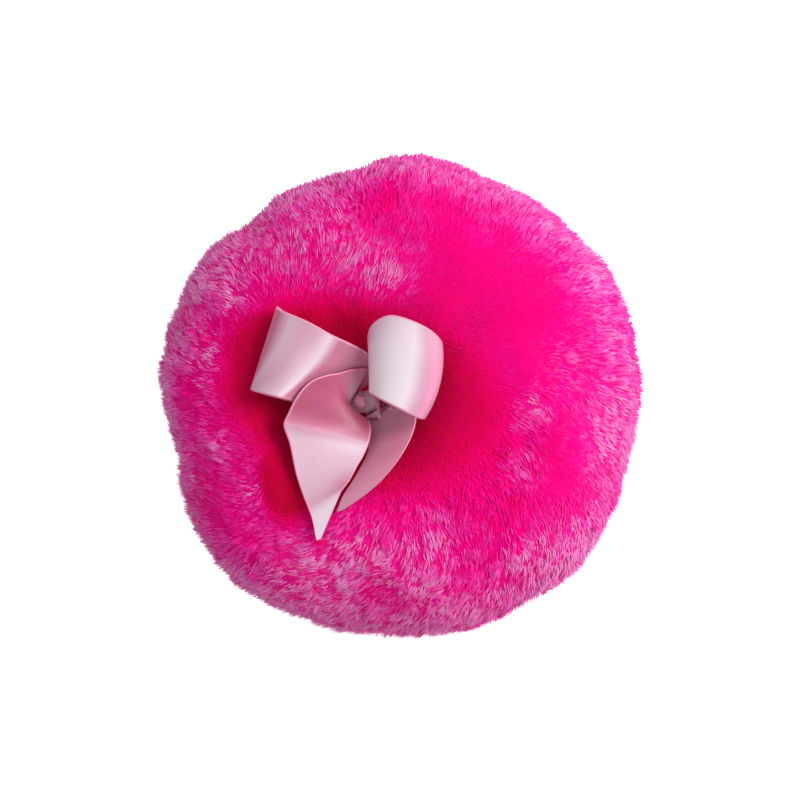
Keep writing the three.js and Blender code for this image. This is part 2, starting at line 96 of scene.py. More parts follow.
# %% A socket that does arithmetic
class Socket:
    """One output of a shader node. An expression on it adds the Math nodes that work it out."""

    def __init__(self, tree, source=None):
        self.tree, self.source = tree, source

    def node(self, kind, settings=None, inputs=None, output=0):
        """Adds a node, sets it up, then fills its inputs with sockets or values."""
        new = self.tree.nodes.new(kind)
        for name, value in (settings or {}).items():
            if name == "stops":
                ramp = new.color_ramp
                while len(ramp.elements) < len(value):
                    ramp.elements.new(0.5)
                for element, (place, colour) in zip(ramp.elements, value):
                    element.position, element.color = place, colour
            else:
                setattr(new, name, value)
        for name, value in (inputs or {}).items():
            if isinstance(value, Socket):
                self.tree.links.new(value.source, new.inputs[name])
            else:
                new.inputs[name].default_value = value
        return Socket(self.tree, new.outputs[output])

    def math(self, operation, first, second=0.0):
        return self.node("ShaderNodeMath", {"operation": operation}, {0: first, 1: second})

    def __add__(self, other):
        return self.math("ADD", self, other)

    def __radd__(self, other):
        return self.math("ADD", other, self)

    def __sub__(self, other):
        return self.math("SUBTRACT", self, other)

    def __rsub__(self, other):
        return self.math("SUBTRACT", other, self)

    def __mul__(self, other):
        return self.math("MULTIPLY", self, other)

    def __rmul__(self, other):
        return self.math("MULTIPLY", other, self)

    def smooth(self, low, high):
        """0 below low, 1 above high, and an S-curve between them."""
        settings = {"interpolation_type": "SMOOTHSTEP"}
        return self.node("ShaderNodeMapRange", settings, {"Value": self, "From Min": low, "From Max": high})

    def mix(self, first, second):
        """The first colour where this factor is 0, the second where it is 1."""
        return self.node("ShaderNodeMix", {"data_type": "RGBA"}, {0: self, 6: first, 7: second}, 2)

    def chart(self, name):
        """The mesh's places on this UV map, as a vector."""
        return self.node("ShaderNodeUVMap", {"uv_map": name})

    def own_place(self):
        """Places in the object's own space, in metres, as a vector."""
        return self.node("ShaderNodeTexCoord", output="Object")

    def parts(self):
        """The x and the y of this vector."""
        return [self.node("ShaderNodeSeparateXYZ", inputs={0: self}, output=k) for k in (0, 1)]

    def noise(self, scale, detail, **more):
        inputs = {"Vector": self, "Scale": scale, "Detail": detail, **more}
        return self.node("ShaderNodeTexNoise", inputs=inputs)

    def bands(self, way, scale, distortion, **more):
        inputs = {"Vector": self, "Scale": scale, "Distortion": distortion, **more}
        return self.node("ShaderNodeTexWave", {"wave_type": "BANDS", "bands_direction": way}, inputs)

    def ramp(self, stops):
        """The colour at this place among the stops."""
        return self.node("ShaderNodeValToRGB", {"stops": stops}, {0: self})

    def bump(self, strength, distance):
        """The normals of a surface with this height, where 1 stands up by distance metres."""
        inputs = {"Height": self, "Strength": strength, "Distance": distance}
        return self.node("ShaderNodeBump", inputs=inputs)


def colour(red, green, blue):
    """A screen colour, 0 to 255, as the linear colour that a shader works in."""
    share = np.array([red, green, blue]) / 255
    linear = np.where(share <= 0.04045, share / 12.92, ((share + 0.055) / 1.055) ** 2.4)
    return (*linear, 1.0)


def material(name, roughness, build, **uniform):
    """A Principled material. build(start) gives the sockets that vary, and uniform the fixed ones."""
    made = bpy.data.materials.new(name)
    made.use_nodes = True
    shader = made.node_tree.nodes["Principled BSDF"]
    shader.inputs["Roughness"].default_value = roughness
    for socket, value in uniform.items():
        shader.inputs[socket.replace("_", " ")].default_value = value
    for socket, value in build(Socket(made.node_tree)).items():
        if isinstance(value, Socket):
            made.node_tree.links.new(value.source, shader.inputs[socket])
        else:
            shader.inputs[socket].default_value = value
    return made

# %% [markdown]
# ## Light and floor
#
# The photograph is lit softly from the upper right. One large lamp stands there, and a plain white world
# fills the rest. The floor is white, with a little of its white shown to the camera alone, so it reads as
# the photograph's blank ground and still takes the puff's shadow.

# %% Lamp, world and floor
LAMP_PLACE, LAMP_SIZE, LAMP_WATTS = np.array([325.0, 112.0, 308.0]), 220.0, 1.52
WORLD_STRENGTH, FLOOR_SIZE, FLOOR_GLOW = 0.49, 6000.0, 0.72
lamp = bpy.data.objects.new("lamp", bpy.data.lights.new("lamp", "AREA"))
lamp.data.energy, lamp.data.size = LAMP_WATTS, LAMP_SIZE * MM
aim = Vector(TARGET - LAMP_PLACE).to_track_quat("-Z", "Y")
lamp.matrix_world = Matrix.LocRotScale(Vector(LAMP_PLACE * MM), aim, None)
bpy.context.scene.collection.objects.link(lamp)

world = bpy.data.worlds.new("studio")
bpy.context.scene.world = world
world.use_nodes = True
sky = Socket(world.node_tree)
seen = sky.node("ShaderNodeLightPath", output="Is Camera Ray")
background = world.node_tree.nodes["Background"]
background.inputs["Color"].default_value = (1, 1, 1, 1)
strength = WORLD_STRENGTH + seen * (1 - WORLD_STRENGTH)
world.node_tree.links.new(strength.source, background.inputs["Strength"])

half = FLOOR_SIZE / 2 * MM
floor_mesh = bpy.data.meshes.new("floor")
corners = [(x * half, y * half, 0) for x, y in ((-1, -1), (1, -1), (1, 1), (-1, 1))]
floor_mesh.from_pydata(corners, [], [(0, 1, 2, 3)])
floor = bpy.data.objects.new("floor", floor_mesh)
bpy.context.scene.collection.objects.link(floor)
floor_material = bpy.data.materials.new("floor")
floor_material.use_nodes = True
paper = Socket(floor_material.node_tree)
matt = paper.node("ShaderNodeBsdfDiffuse", inputs={"Color": (0.9, 0.9, 0.9, 1)})
seen = paper.node("ShaderNodeLightPath", output="Is Camera Ray")
glow = paper.node("ShaderNodeEmission", inputs={"Strength": seen * FLOOR_GLOW})
both = paper.node("ShaderNodeAddShader", inputs={0: matt, 1: glow})
output = floor_material.node_tree.nodes["Material Output"]
floor_material.node_tree.links.new(both.source, output.inputs["Surface"])
floor.data.materials.append(floor_material)

# %% [markdown]
# ## Pieces from arrays
#
# Every new piece is worked out as whole numpy arrays. `piece` puts the points, faces and UV places into a
# mesh, rides it on its body and hides the solid that it stands for.

# %% From arrays to a piece
def piece(name, points, faces, finish, body, stands_for=(), charts=None, smooth=True):
    """A mesh object from points in millimetres, a list of face arrays, and charts: for each UV map's name,
    one place for each point."""
    mesh = bpy.data.meshes.new(name)
    sizes = np.concatenate([np.full(len(block), block.shape[1]) for block in faces])
    corners = np.concatenate([block.ravel() for block in faces]).astype(np.int32)
    mesh.vertices.add(len(points))
    mesh.vertices.foreach_set("co", (points * MM).astype(np.float32).ravel())
    mesh.loops.add(len(corners))
    mesh.loops.foreach_set("vertex_index", corners)
    mesh.polygons.add(len(sizes))
    mesh.polygons.foreach_set("loop_start", (np.cumsum(sizes) - sizes).astype(np.int32))
    mesh.polygons.foreach_set("use_smooth", np.full(len(sizes), smooth))
    mesh.update(calc_edges=True)
    for chart, places in (charts or {}).items():
        layer = mesh.uv_layers.new(name=chart)
        layer.data.foreach_set("uv", places[corners].astype(np.float32).ravel())
    mesh.validate()
    made = bpy.data.objects.new(name, mesh)
    bpy.context.scene.collection.objects.link(made)
    mesh.materials.append(finish)
    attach(made, body)
    if stands_for:
        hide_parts(*stands_for)
    print(name, len(points), "points", int((sizes - 2).sum()), "triangles")
    return made


def grid_faces(rows, columns, wrap=False):
    """Quads between neighbouring rows and columns of a grid; wrap joins the last column to the first."""
    i = np.arange(rows - 1)[:, None]
    j = np.arange(columns if wrap else columns - 1)[None, :]
    k = (j + 1) % columns
    corners = [i * columns + j, i * columns + k, (i + 1) * columns + k, (i + 1) * columns + j]
    return np.stack(np.broadcast_arrays(*corners), -1).reshape(-1, 4)


def ring_faces(rings, sides, poles=True):
    """Faces of rings joined one to the next. The first and the last are closed by fans to two poles, the
    points after all the rings, or else they are joined to each other."""
    j = np.arange(sides)
    k = (j + 1) % sides
    last = (rings - 1) * sides
    if not poles:
        return [grid_faces(rings, sides, wrap=True), np.stack([last + j, last + k, k, j], -1)]
    pole = np.full(sides, rings * sides)
    return [grid_faces(rings, sides, wrap=True), np.stack([k, j, pole], -1),
            np.stack([last + j, last + k, pole + 1], -1)]


def whole_turn(sides):
    return np.linspace(0, 2 * np.pi, sides, endpoint=False)


def unit(vectors, least=0.0):
    """The directions of these vectors; least is the smallest length that one is divided by."""
    return vectors / np.maximum(np.linalg.norm(vectors, axis=-1, keepdims=True), least)


def from_axis(points):
    return np.hypot(points[..., 0], points[..., 1])

# %% [markdown]
# ## The pad's two surfaces
#
# A round pad is one curve, its meridian, turned about the upright axis. The outer meridian is where the
# tips of the pile end, and the inner one is the cloth that the pile grows from. `q` runs along each from the
# middle of the back, 0, over the rim, to the middle of the face, 1.

# %% Meridians
def quarter(power, count, inner, outer, low, high):
    """A superelliptic quarter: r = inner + (outer - inner) sin(t)^(2/power), and z falls from high to low
    as z = low + (high - low) cos(t)^(2/power)."""
    t = np.linspace(0, np.pi / 2, count)
    r = inner + (outer - inner) * np.sin(t) ** (2 / power)
    z = low + (high - low) * np.maximum(np.cos(t), 0) ** (2 / power)
    return np.stack([r, z], -1)


def back_curve(ring, radius, top, dip, start=0.0, rim=SEAM_HEIGHT, counts=(80, 240)):
    """From start, near the middle: a hollow z = top - dip (1 + cos(pi r / ring)) / 2 to the ring, then the
    shoulder down to the rim. counts are the points on each."""
    r = np.linspace(start, ring, counts[0])[:-1]
    hollow = np.stack([r, top - dip * (1 + np.cos(np.pi * r / ring)) / 2], -1)
    return np.concatenate([hollow, quarter(SHOULDER_POWER, counts[1], ring, radius, rim, top)])


def face_curve(foot, radius, bottom, rim=SEAM_HEIGHT, counts=(240, 40)):
    """From the rim: a superelliptic quarter down to the flat foot, then straight in to the middle."""
    rise = quarter(FACE_POWER, counts[0], foot, radius, rim, bottom)[::-1]
    flat = np.linspace(foot, 0, counts[1])[1:]
    return np.concatenate([rise, np.stack([flat, np.full(len(flat), bottom)], -1)])


class Meridian:
    """A curve of [r, z] with q, the share of its length, measured so that the rim always has the same q."""

    def __init__(self, back, face, rim_share):
        def share(curve):
            return np.concatenate([[0], np.cumsum(np.hypot(*np.diff(curve, axis=0).T))])
        over, under = share(back), share(face)
        self.length = over[-1] + under[-1]
        self.rim_share = over[-1] / self.length if rim_share is None else rim_share
        self.q = np.concatenate([over / over[-1] * self.rim_share,
                                 self.rim_share + under[1:] / under[-1] * (1 - self.rim_share)])
        self.curve = np.concatenate([back, face[1:]])

    def at(self, q):
        """Radius and height at q."""
        return np.interp(q, self.q, self.curve[:, 0]), np.interp(q, self.q, self.curve[:, 1])


outer = Meridian(back_curve(CROWN_RADIUS, PAD_RADIUS, PAD_HEIGHT, DIMPLE_DEPTH),
                 face_curve(FOOT_RADIUS, PAD_RADIUS, 0.0), None)
inner = Meridian(back_curve(CLOTH_CROWN_RADIUS, CLOTH_RADIUS, CLOTH_TOP, CLOTH_DIP),
                 face_curve(CLOTH_FOOT_RADIUS, CLOTH_RADIUS, CLOTH_FOOT), outer.rim_share)
print("outer meridian", round(outer.length, 1), "mm, rim at", round(outer.rim_share, 3))


def smoothstep(x, low, high):
    """0 below low, 1 above high, an S-curve between."""
    t = np.clip((x - low) / (high - low), 0, 1)
    return t * t * (3 - 2 * t)


def pad_point(q, angle, depth):
    """A point of the pad: depth 0 is the tips' surface, 1 the cloth. Its middle leans over to the tack."""
    (r0, z0), (r1, z1) = outer.at(q), inner.at(q)
    r, z = r0 + (r1 - r0) * depth, z0 + (z1 - z0) * depth
    follow = 1 - smoothstep(r, TACK_ZONE, EVEN_RADIUS)
    return np.stack([r * np.cos(angle) + TACK[0] * follow, r * np.sin(angle) + TACK[1] * follow, z], -1)


def pile_length(q):
    """How far the cloth lies under the tips' surface."""
    (r0, z0), (r1, z1) = outer.at(q), inner.at(q)
    return np.hypot(r0 - r1, z0 - z1)

# %% [markdown]
# ## Randomness that is the same every time
#
# Fur needs many scales of irregularity. One table of random numbers, made from a fixed seed, is looked up by
# the whole-number cell that a point lies in. `wander` blends the eight corners of a cell into a smooth hill
# pattern, and `nearest_knot` finds the closest of the scattered points that strands gather round.

# %% Hills and scattered points
TABLE = np.random.default_rng(7).random((8192, 4))
CELL_PRIMES, SEED_PRIME = np.array([73856093, 19349663, 83492791]), 2654435761
CELL_SHIFT = 100  # keeps the cells' numbers positive


def cell_values(cells, seed):
    """Four random numbers for each whole-number cell."""
    keys = cells.astype(np.int64) * CELL_PRIMES
    return TABLE[(keys[..., 0] ^ keys[..., 1] ^ keys[..., 2] ^ (seed * SEED_PRIME)) % len(TABLE)]


def wander(points, size, seed):
    """Four smooth patterns from -1 to 1 with hills about `size` across: corners blended by an S-curve."""
    place = points / size + CELL_SHIFT
    cell = np.floor(place)
    t = place - cell
    t = t * t * (3 - 2 * t)
    total = 0
    for corner in np.ndindex(2, 2, 2):
        weight = np.prod(np.where(corner, t, 1 - t), axis=-1)
        total = total + weight[..., None] * cell_values(cell + corner, seed)
    return 2 * total - 1


def nearest_knot(points, size, seed):
    """The nearest of one scattered point in each cell of this size, and that point's four random numbers."""
    place = points / size + CELL_SHIFT
    cell = np.floor(place)
    best = np.full(len(points), np.inf)
    where, values = np.zeros((len(points), 3)), np.zeros((len(points), 4))
    for step in np.ndindex(3, 3, 3):
        near = cell + np.array(step) - 1
        found = near + cell_values(near, seed)[:, :3]
        distance = ((found - place) ** 2).sum(-1)
        closer = distance < best
        best[closer], where[closer] = distance[closer], found[closer]
        values[closer] = cell_values(near[closer], seed + 1)
    return (where - CELL_SHIFT) * size, values

# %% [markdown]
# ## How the pile lies
#
# Three fields over the pad drive every strand. `relief` raises and sinks the tips in soft tufts. `flow` says
# which way the pile is brushed: outwards, with a twist that changes round the pad, as in the photograph.
# `tone` goes from crimson through hot pink to pale lilac: the hollow's crimson is painted shade, the lilac of
# the brushed tips on the rim and in patches is painted sheen, and wisps vary at random.
# Two masks say where the fields rest: `hollow_share` in the hollow round the bow, and `calm_share` there
# and on the parts of the shoulder that the photograph shows smooth.

# %% Relief: how high the tips stand
RIM_PILE, HILL_SPACING, HILL_SHARE, RESTING_SWELL_SHARE = 13.0, 23.0, 0.05, 0.02
BOW_ZONE, WAVES_ZONE = (26.0, 34.0), (29.85, 44.4)  # mm from the tack, and from the middle
RIM_WAVES = (  # waves round the rim: count, height as a share of the pile there, turn
    (1, 0.066, 1.40), (2, 0.026, -1.04), (4, 0.033, 2.65), (5, 0.048, -1.39), (6, 0.018, 2.29),
    (7, 0.017, -2.45))
HOLLOW_X, HOLLOW_Y, HOLLOW_SLANT, HOLLOW_WIDTH, HOLLOW_UP, HOLLOW_DOWN = -4.0, 1.5, 0.16, 1.36, 0.78, 0.90
# The lobe beside the left tail is where the tail's shadow is painted crimson into the pile's tone; the pile
# also lies smooth there.
LOBE_X, LOBE_Y, LOBE_STRETCH = -17.5, -15.0, 1.45
HOLLOW_EDGE, LOBE_EDGE = (15, 23.5), (3.5, 7)
CALM_MOST, CALM_STILL = 0.8, 0.85
CALM_PLACES = (  # x, y and size in mm
    (21, 17, 9), (24, 4, 7), (12, 25, 6), (30, 14, 6), (35, -5, 5), (34, -15, 6))
TUFTS = ((8, 0.35, 3), (3.4, 0.35, 4))  # size across in mm, height in mm, seed


def tack_distance(points):
    return from_axis(points - TO_TACK)


def clear_of_bow(points):
    """0 under the bow, where the tips are kept down, and 1 outside its zone."""
    return smoothstep(tack_distance(points), *BOW_ZONE)


def spot(points, x, y, size):
    """exp(-(distance / size)^2), seen from above."""
    return np.exp(-((points[:, 0] - x) ** 2 + (points[:, 1] - y) ** 2) / size ** 2)


def hollow_share(points):
    """1 in the wide, slightly slanting oval hollow round the bow and in its lobe beside the left tail."""
    x, y = points[:, 0], points[:, 1]
    up = y - HOLLOW_Y + HOLLOW_SLANT * (x - HOLLOW_X)
    oval = np.hypot((x - HOLLOW_X) / HOLLOW_WIDTH, up / np.where(up > 0, HOLLOW_UP, HOLLOW_DOWN))
    lobe = np.hypot(x - LOBE_X, (y - LOBE_Y) / LOBE_STRETCH)
    return np.maximum(1 - smoothstep(oval, *HOLLOW_EDGE), 1 - smoothstep(lobe, *LOBE_EDGE))


def calm_share(points):
    """1 where the pile lies smooth, without wisps: in the hollow, and in soft spots to its right."""
    shoulder = sum(CALM_MOST * spot(points, *place) for place in CALM_PLACES)
    on_back = points[:, 2] > SEAM_HEIGHT
    return np.maximum(hollow_share(points), np.minimum(shoulder, CALM_MOST) * on_back)


def swell(q, angle):
    """The solids' own relief: waves round the rim, and over the back two crossing trains of bent waves,
    (sin(u + 1.3 sin 0.7v) + sin(0.92v + 1.1 sin 0.77u + 2)) / 2, with u and v across and up the pad."""
    r, z = outer.at(q)
    u, v = (2 * np.pi * r * part(angle) / HILL_SPACING for part in (np.cos, np.sin))
    hills = (np.sin(u + 1.3 * np.sin(0.7 * v)) + np.sin(0.92 * v + 1.1 * np.sin(0.77 * u) + 2)) / 2
    waves = RESTING_SWELL_SHARE + sum(share * np.cos(n * angle + turn) for n, share, turn in RIM_WAVES)
    height = RIM_PILE * (waves * smoothstep(r, *WAVES_ZONE) + HILL_SHARE * hills)
    out = np.maximum(r - FOOT_RADIUS, 0) / (PAD_RADIUS - FOOT_RADIUS)
    at_face = np.sin(np.arctan2(out, np.abs(z - SEAM_HEIGHT) / SEAM_HEIGHT))
    return height * np.where(z < SEAM_HEIGHT, at_face, 1)


def relief(q, angle, points):
    """Height of the tips over the even surface: the swell, and tufts on it that fade in the hollow."""
    tufts = sum(height * wander(points, size, seed)[:, 0] for size, height, seed in TUFTS)
    height = swell(q, angle) + tufts * (1 - CALM_STILL * calm_share(points))
    return np.maximum(height, 0) * clear_of_bow(points) + np.minimum(height, 0)

# %% Flow and tone: which way the pile is brushed, and how pale it is
TWIST, TWIST_SWING, TWIST_TOWARDS, TWIST_BROAD, TWIST_SMALL = -28, 28, np.radians(105), 36, 34  # degrees
REACH, REACH_BROAD, REACH_SMALL, REACH_CALM = 4.6, 1.0, 0.9, 0.5
BROAD, SMALL, GRAIN_HILLS = (11, 5), (4.0, 6), (6, 8)  # size in mm and seed of their hills
REACH_HEIGHTS, REACH_START = (8, 26), (0, 8)  # mm where the reach grows: height, distance from the tack
# OUTER_SHEEN paints the pile paler farther out, as sheen off the fibres' sides.
BASE_TONE, OUTER_SHEEN, CHANCE_SPREAD, GRAIN, SMOOTH_SHARE = 0.37, 0.05, 0.20, 0.10, 0.8
OUTER_ZONE, RIM_ZONE = (30, 38), (36.5, 44)  # mm from the middle where the pile grows paler
RIM_HEIGHTS, HOLLOW_ZONE = (12, 25), (-6, 14)  # heights in mm, and x in mm over the hollow
# The rim's lilac is painted sheen, paler on the side away from the lamp.
RIM_SHEEN, RIM_SHEEN_SWING, RIM_TOWARDS = 0.45, 0.14, 0.2
# HOLLOW_SHADE paints the hollow crimson as shade, darkest at its left.
HOLLOW_SHADE, HOLLOW_SHADE_RISE = 0.02, 0.11
SHEEN_PATCHES = np.array([
    # x, y in mm, size across, strength: the brushed-over places that look pale in the photograph, painted
    # paler as sheen
    [3, 23, 5, 0.50], [-4, 24.5, 5, 0.40], [-8.6, 31, 5.5, 0.45], [-16.5, 29.5, 6, 0.35],
    [-25, 24.5, 6, 0.35], [-13, 21.5, 4, 0.25], [-29, 19.5, 5, 0.45], [-33, 9.5, 6, 0.40],
    [-33, 3.5, 5, 0.32], [-32, -9.5, 5, 0.32], [-24, -17.5, 4.5, 0.45], [-17, -30.5, 6, 0.50],
    [-9, -32.5, 7, 0.52], [-2, -29, 6, 0.45], [7, -34.5, 7, 0.42], [11, -26.5, 6, 0.34],
    [24.5, -29, 5.5, 0.42], [35, -28.5, 5, 0.42], [28, -3, 3.6, 0.50], [26, -13.5, 3.4, 0.42],
    [41, -7.5, 6, 0.36], [38, 25.5, 7, 0.22], [33, 5, 7, 0.20],
])


def flow(points, angle):
    """How far, in mm, tips lie outwards and anticlockwise of their roots."""
    broad, small = wander(points, *BROAD), wander(points, *SMALL)
    swing = TWIST + TWIST_SWING * np.cos(angle - TWIST_TOWARDS)
    twist = np.radians(swing + TWIST_BROAD * broad[:, 1] + TWIST_SMALL * small[:, 1])
    reach = REACH + REACH_BROAD * broad[:, 0] + REACH_SMALL * small[:, 0]
    reach *= 1 - REACH_CALM * calm_share(points)
    reach *= 0.55 + 0.45 * smoothstep(points[:, 2], *REACH_HEIGHTS)
    reach *= smoothstep(tack_distance(points), *REACH_START)
    return reach * np.cos(twist), reach * np.sin(twist)


def tone(points, angle, chance):
    """0 crimson, 0.46 hot pink, 1 pale lilac. Each wisp's chance, 0 to 1, says how pale it is in a patch."""
    radius, on_back = from_axis(points), points[:, 2] > SEAM_HEIGHT
    rough = 1 - SMOOTH_SHARE * calm_share(points)
    # Painted sheen farther out; the chance spread is random from wisp to wisp.
    value = BASE_TONE + OUTER_SHEEN * smoothstep(radius, *OUTER_ZONE) + CHANCE_SPREAD * (chance - 0.5) * rough
    # Painted sheen round the rim, stronger on the side away from the lamp.
    rim = (RIM_SHEEN - RIM_SHEEN_SWING * np.cos(angle - RIM_TOWARDS)) * smoothstep(radius, *RIM_ZONE)
    value = value + rim * (0.35 + 0.65 * smoothstep(points[:, 2], *RIM_HEIGHTS)) * (0.6 + 0.8 * chance)
    # Painted sheen in the brushed-over patches.
    for *place, strength in SHEEN_PATCHES:
        value = value + strength * (1.9 * chance - 0.15) * spot(points, *place) * on_back
    value = value + GRAIN * rough * wander(points, *GRAIN_HILLS)[:, 0]
    # Painted shade in the hollow: crimson, darker to the left where the bow's shadow falls, and the tail's
    # shadow in the lobe.
    inside = HOLLOW_SHADE + HOLLOW_SHADE_RISE * smoothstep(points[:, 0], *HOLLOW_ZONE)
    return value * (1 - hollow_share(points)) + inside * hollow_share(points)

# %% [markdown]
# ## Growing the strands
#
# Hair curves would look right here but are not a mesh, and the finished part has to be one. So each strand is
# a closed three-sided spike of ten triangles: two rings and a tip. It stands up out of the dense lower pile,
# bends over with the flow, and its tip is drawn towards the nearest scattered point, which makes wisps. A
# strand is flatter than it is wide, with its flat side out, so a brushed tuft takes the light as one soft
# surface. Round the rim a few stray tips stand out, which softens the outline. All the strands of a piece
# are worked out at once.

# %% One spike for each strand
RINGS = np.array([0.66, 0.89])
RING_WIDTH = np.array([0.14, 0.12])
SPIKE_SIDES, FLATNESS, ROOT_LEAN = 3, 0.28, 0.3
BEND_POWER, RISE_POWER, CRIMP = 2.1, 1.75, 0.14
WISPS = (  # size, share of the way that tips are drawn together, drift, height, share in the tone, seed
    (0.85, 0.42, 0.34, 0.12, 0.6, 20), (2.1, 0.18, 0.75, 0.20, 0.4, 30))
SCATTER, SHORTFALL, GRAIN_OF_STRANDS = 0.34, 0.22, 0.03
STRAY_HEIGHT, STRAY_SINK, STRAY_ZONE, STRAY_MIX = 0.9, 0.2, (36.0, 44.0), 997.0
LOWEST_TIP, UNDER_BOW, Q_LOW, Q_HIGH, Q_STEP = 0.2, 0.15, 0.004, 0.996, 0.004
TONE_LOW, TONE_HIGH, TONE_ACROSS, TINY = 0.02, 0.98, 0.012, 1e-6


def strand_paths(q, angle, rng):
    """Points at the two rings and the tip of each strand, the way its flat side faces, and its tone."""
    count = len(q)
    root = pad_point(q, angle, 0)
    out, around = flow(root, angle)
    radius = np.maximum(outer.at(q)[0], 3)
    tip_q = np.clip(q + out / outer.length, Q_LOW, Q_HIGH)
    tip_angle = angle + around / radius
    tip = pad_point(tip_q, tip_angle, 0)
    along = unit(pad_point(np.clip(tip_q + Q_STEP, 0, 1), tip_angle, 0) - tip, TINY)
    sideways = np.stack([-np.sin(tip_angle), np.cos(tip_angle), np.zeros(count)], -1)
    calm = 1 - CALM_STILL * calm_share(tip)
    shift, lift, chance = np.zeros((count, 2)), np.zeros(count), np.zeros(count)
    for size, pull, drift, height, share, seed in WISPS:
        knot, values = nearest_knot(tip, size, seed)
        gap = knot - tip
        shift[:, 0] += pull * (gap * along).sum(-1) + drift * calm * (2 * values[:, 2] - 1)
        shift[:, 1] += pull * (gap * sideways).sum(-1) + drift * calm * (2 * values[:, 3] - 1)
        lift += height * (2 * values[:, 0] - 1)
        chance += values[:, 1] * share
    shift += SCATTER * rng.normal(size=(count, 2))
    tip_q = np.clip(tip_q + shift[:, 0] / outer.length, Q_LOW, Q_HIGH)
    tip_angle = tip_angle + shift[:, 1] / radius
    tip = pad_point(tip_q, tip_angle, 0)
    height = relief(tip_q, tip_angle, tip)
    lift = lift * calm - rng.exponential(SHORTFALL, count) * (0.4 + 0.6 * calm)
    stray = np.modf(STRAY_MIX * angle)[0] ** 3 - STRAY_SINK
    lift += STRAY_HEIGHT * stray * smoothstep(from_axis(tip), *STRAY_ZONE)
    height = np.minimum(height + lift, UNDER_BOW + 4 * clear_of_bow(tip))
    tip_depth = -height / pile_length(tip_q)
    crimp = CRIMP * rng.normal(size=(2, len(RINGS) + 1, count)) * np.array([1, 0.8, 0])[None, :, None]
    paths = []
    for k, s in enumerate((*RINGS, 1.0)):
        bend = s ** BEND_POWER
        depth = 1 - (1 - tip_depth) * (1 - (1 - s) ** RISE_POWER)
        paths.append(pad_point(q + (tip_q - q) * bend + crimp[0, k] / outer.length,
                               angle + (tip_angle - angle) * bend + crimp[1, k] / radius, depth))
    paths = np.stack(paths, 1)
    paths[..., 2] = np.maximum(paths[..., 2], LOWEST_TIP)
    facing = unit(tip - pad_point(tip_q, tip_angle, 1)) - ROOT_LEAN * unit(paths[:, -1] - paths[:, 0])
    value = tone(tip, tip_angle, chance) + GRAIN_OF_STRANDS * rng.normal(size=count) * calm
    return paths, facing, np.clip(value, TONE_LOW, TONE_HIGH)


def spikes(paths, facing, value, width_share):
    """Closed spikes along the paths: at each ring a flat triangle, square to the strand, and the tip."""
    count, steps = len(paths), paths.shape[1]
    ahead = unit(np.gradient(paths, axis=1))
    up = unit(facing[:, None] - (facing[:, None] * ahead).sum(-1, keepdims=True) * ahead, TINY)
    side = np.cross(up, ahead)
    turns = np.pi / 2 + 2 * np.pi * np.arange(SPIKE_SIDES) / SPIKE_SIDES
    rings = [paths[:, k, None] + RING_WIDTH[k] * width_share[:, None, None] * (
        np.cos(turns)[:, None] * side[:, k, None] + FLATNESS * np.sin(turns)[:, None] * up[:, k, None])
        for k in range(steps - 1)]
    points = np.concatenate([*rings, paths[:, -1:]], 1)
    ring_uv = [np.stack(np.broadcast_arrays(
        RINGS[k], value[:, None] + TONE_ACROSS * np.array([-1, 0, 1])), -1) for k in range(steps - 1)]
    tip_uv = np.stack([np.ones((count, 1)), value[:, None]], -1)
    uv = np.concatenate([*ring_uv, tip_uv], 1)
    per = points.shape[1]
    start = per * np.arange(count)[:, None, None]
    quads = start + grid_faces(steps - 1, SPIKE_SIDES, wrap=True)[None]
    last = SPIKE_SIDES * (steps - 2)
    tips = np.array([[last + k, last + (k + 1) % SPIKE_SIDES, per - 1] for k in range(SPIKE_SIDES)])
    ends = np.concatenate([tips, [[2, 1, 0]]])
    triangles = start + ends[None]
    return points.reshape(-1, 3), [quads.reshape(-1, 4), triangles.reshape(-1, 3)], uv.reshape(-1, 2)


def scatter_roots(count, low, high, rng):
    """Even places over the pad from q = low to high: q by equal area, a golden-angle turn between them."""
    q = np.linspace(low, high, 2000)
    area = np.cumsum(np.maximum(outer.at(q)[0], 0.6))
    area = (area - area[0]) / (area[-1] - area[0])
    order = (np.arange(count) + rng.random(count)) / count
    angle = np.arange(count) * np.pi * (3 - np.sqrt(5)) + rng.random(count) * 0.02
    return np.interp(order, area, q), angle % (2 * np.pi)

# %% [markdown]
# ## Colour of the pile
#
# Each strand carries its own place on a small chart: along it from root to tip, and across it by tone. The
# colour is read off that chart alone. Roots are a deeper pink, because little light gets down to them. The
# dense lower pile has the same tones, with a fine grain.

# %% Pile materials
# The ramp runs from crimson, shown where shade is painted in the hollow, through the dye's hot pink, to
# lilac, shown where sheen is painted on the rim and in patches.
TIP_STOPS = [(0.0, colour(212, 0, 54)), (0.14, colour(246, 0, 80)), (0.30, colour(252, 0, 134)),
             (0.46, colour(255, 14, 162)), (0.66, colour(255, 74, 192)), (0.84, colour(254, 116, 206)),
             (1.0, colour(252, 164, 224))]
ROOT_STOPS = [(0.0, colour(208, 0, 56)), (0.30, colour(246, 0, 112)), (0.46, colour(246, 2, 140)),
              (1.0, colour(240, 44, 166))]


def pile_paint(start):
    along, level = start.chart("OFBake").parts()
    return {"Base Color": along.smooth(0.70, 0.96).mix(level.ramp(ROOT_STOPS), level.ramp(TIP_STOPS))}


def ground_paint(start):
    level = start.chart("tone").parts()[1]
    grain = start.own_place().noise(1600.0, 4.0)
    shade = (grain.smooth(0.35, 0.65) * 0.30).mix(level.ramp(ROOT_STOPS), colour(206, 0, 84))
    return {"Base Color": shade, "Normal": grain.bump(0.5, 0.0003)}


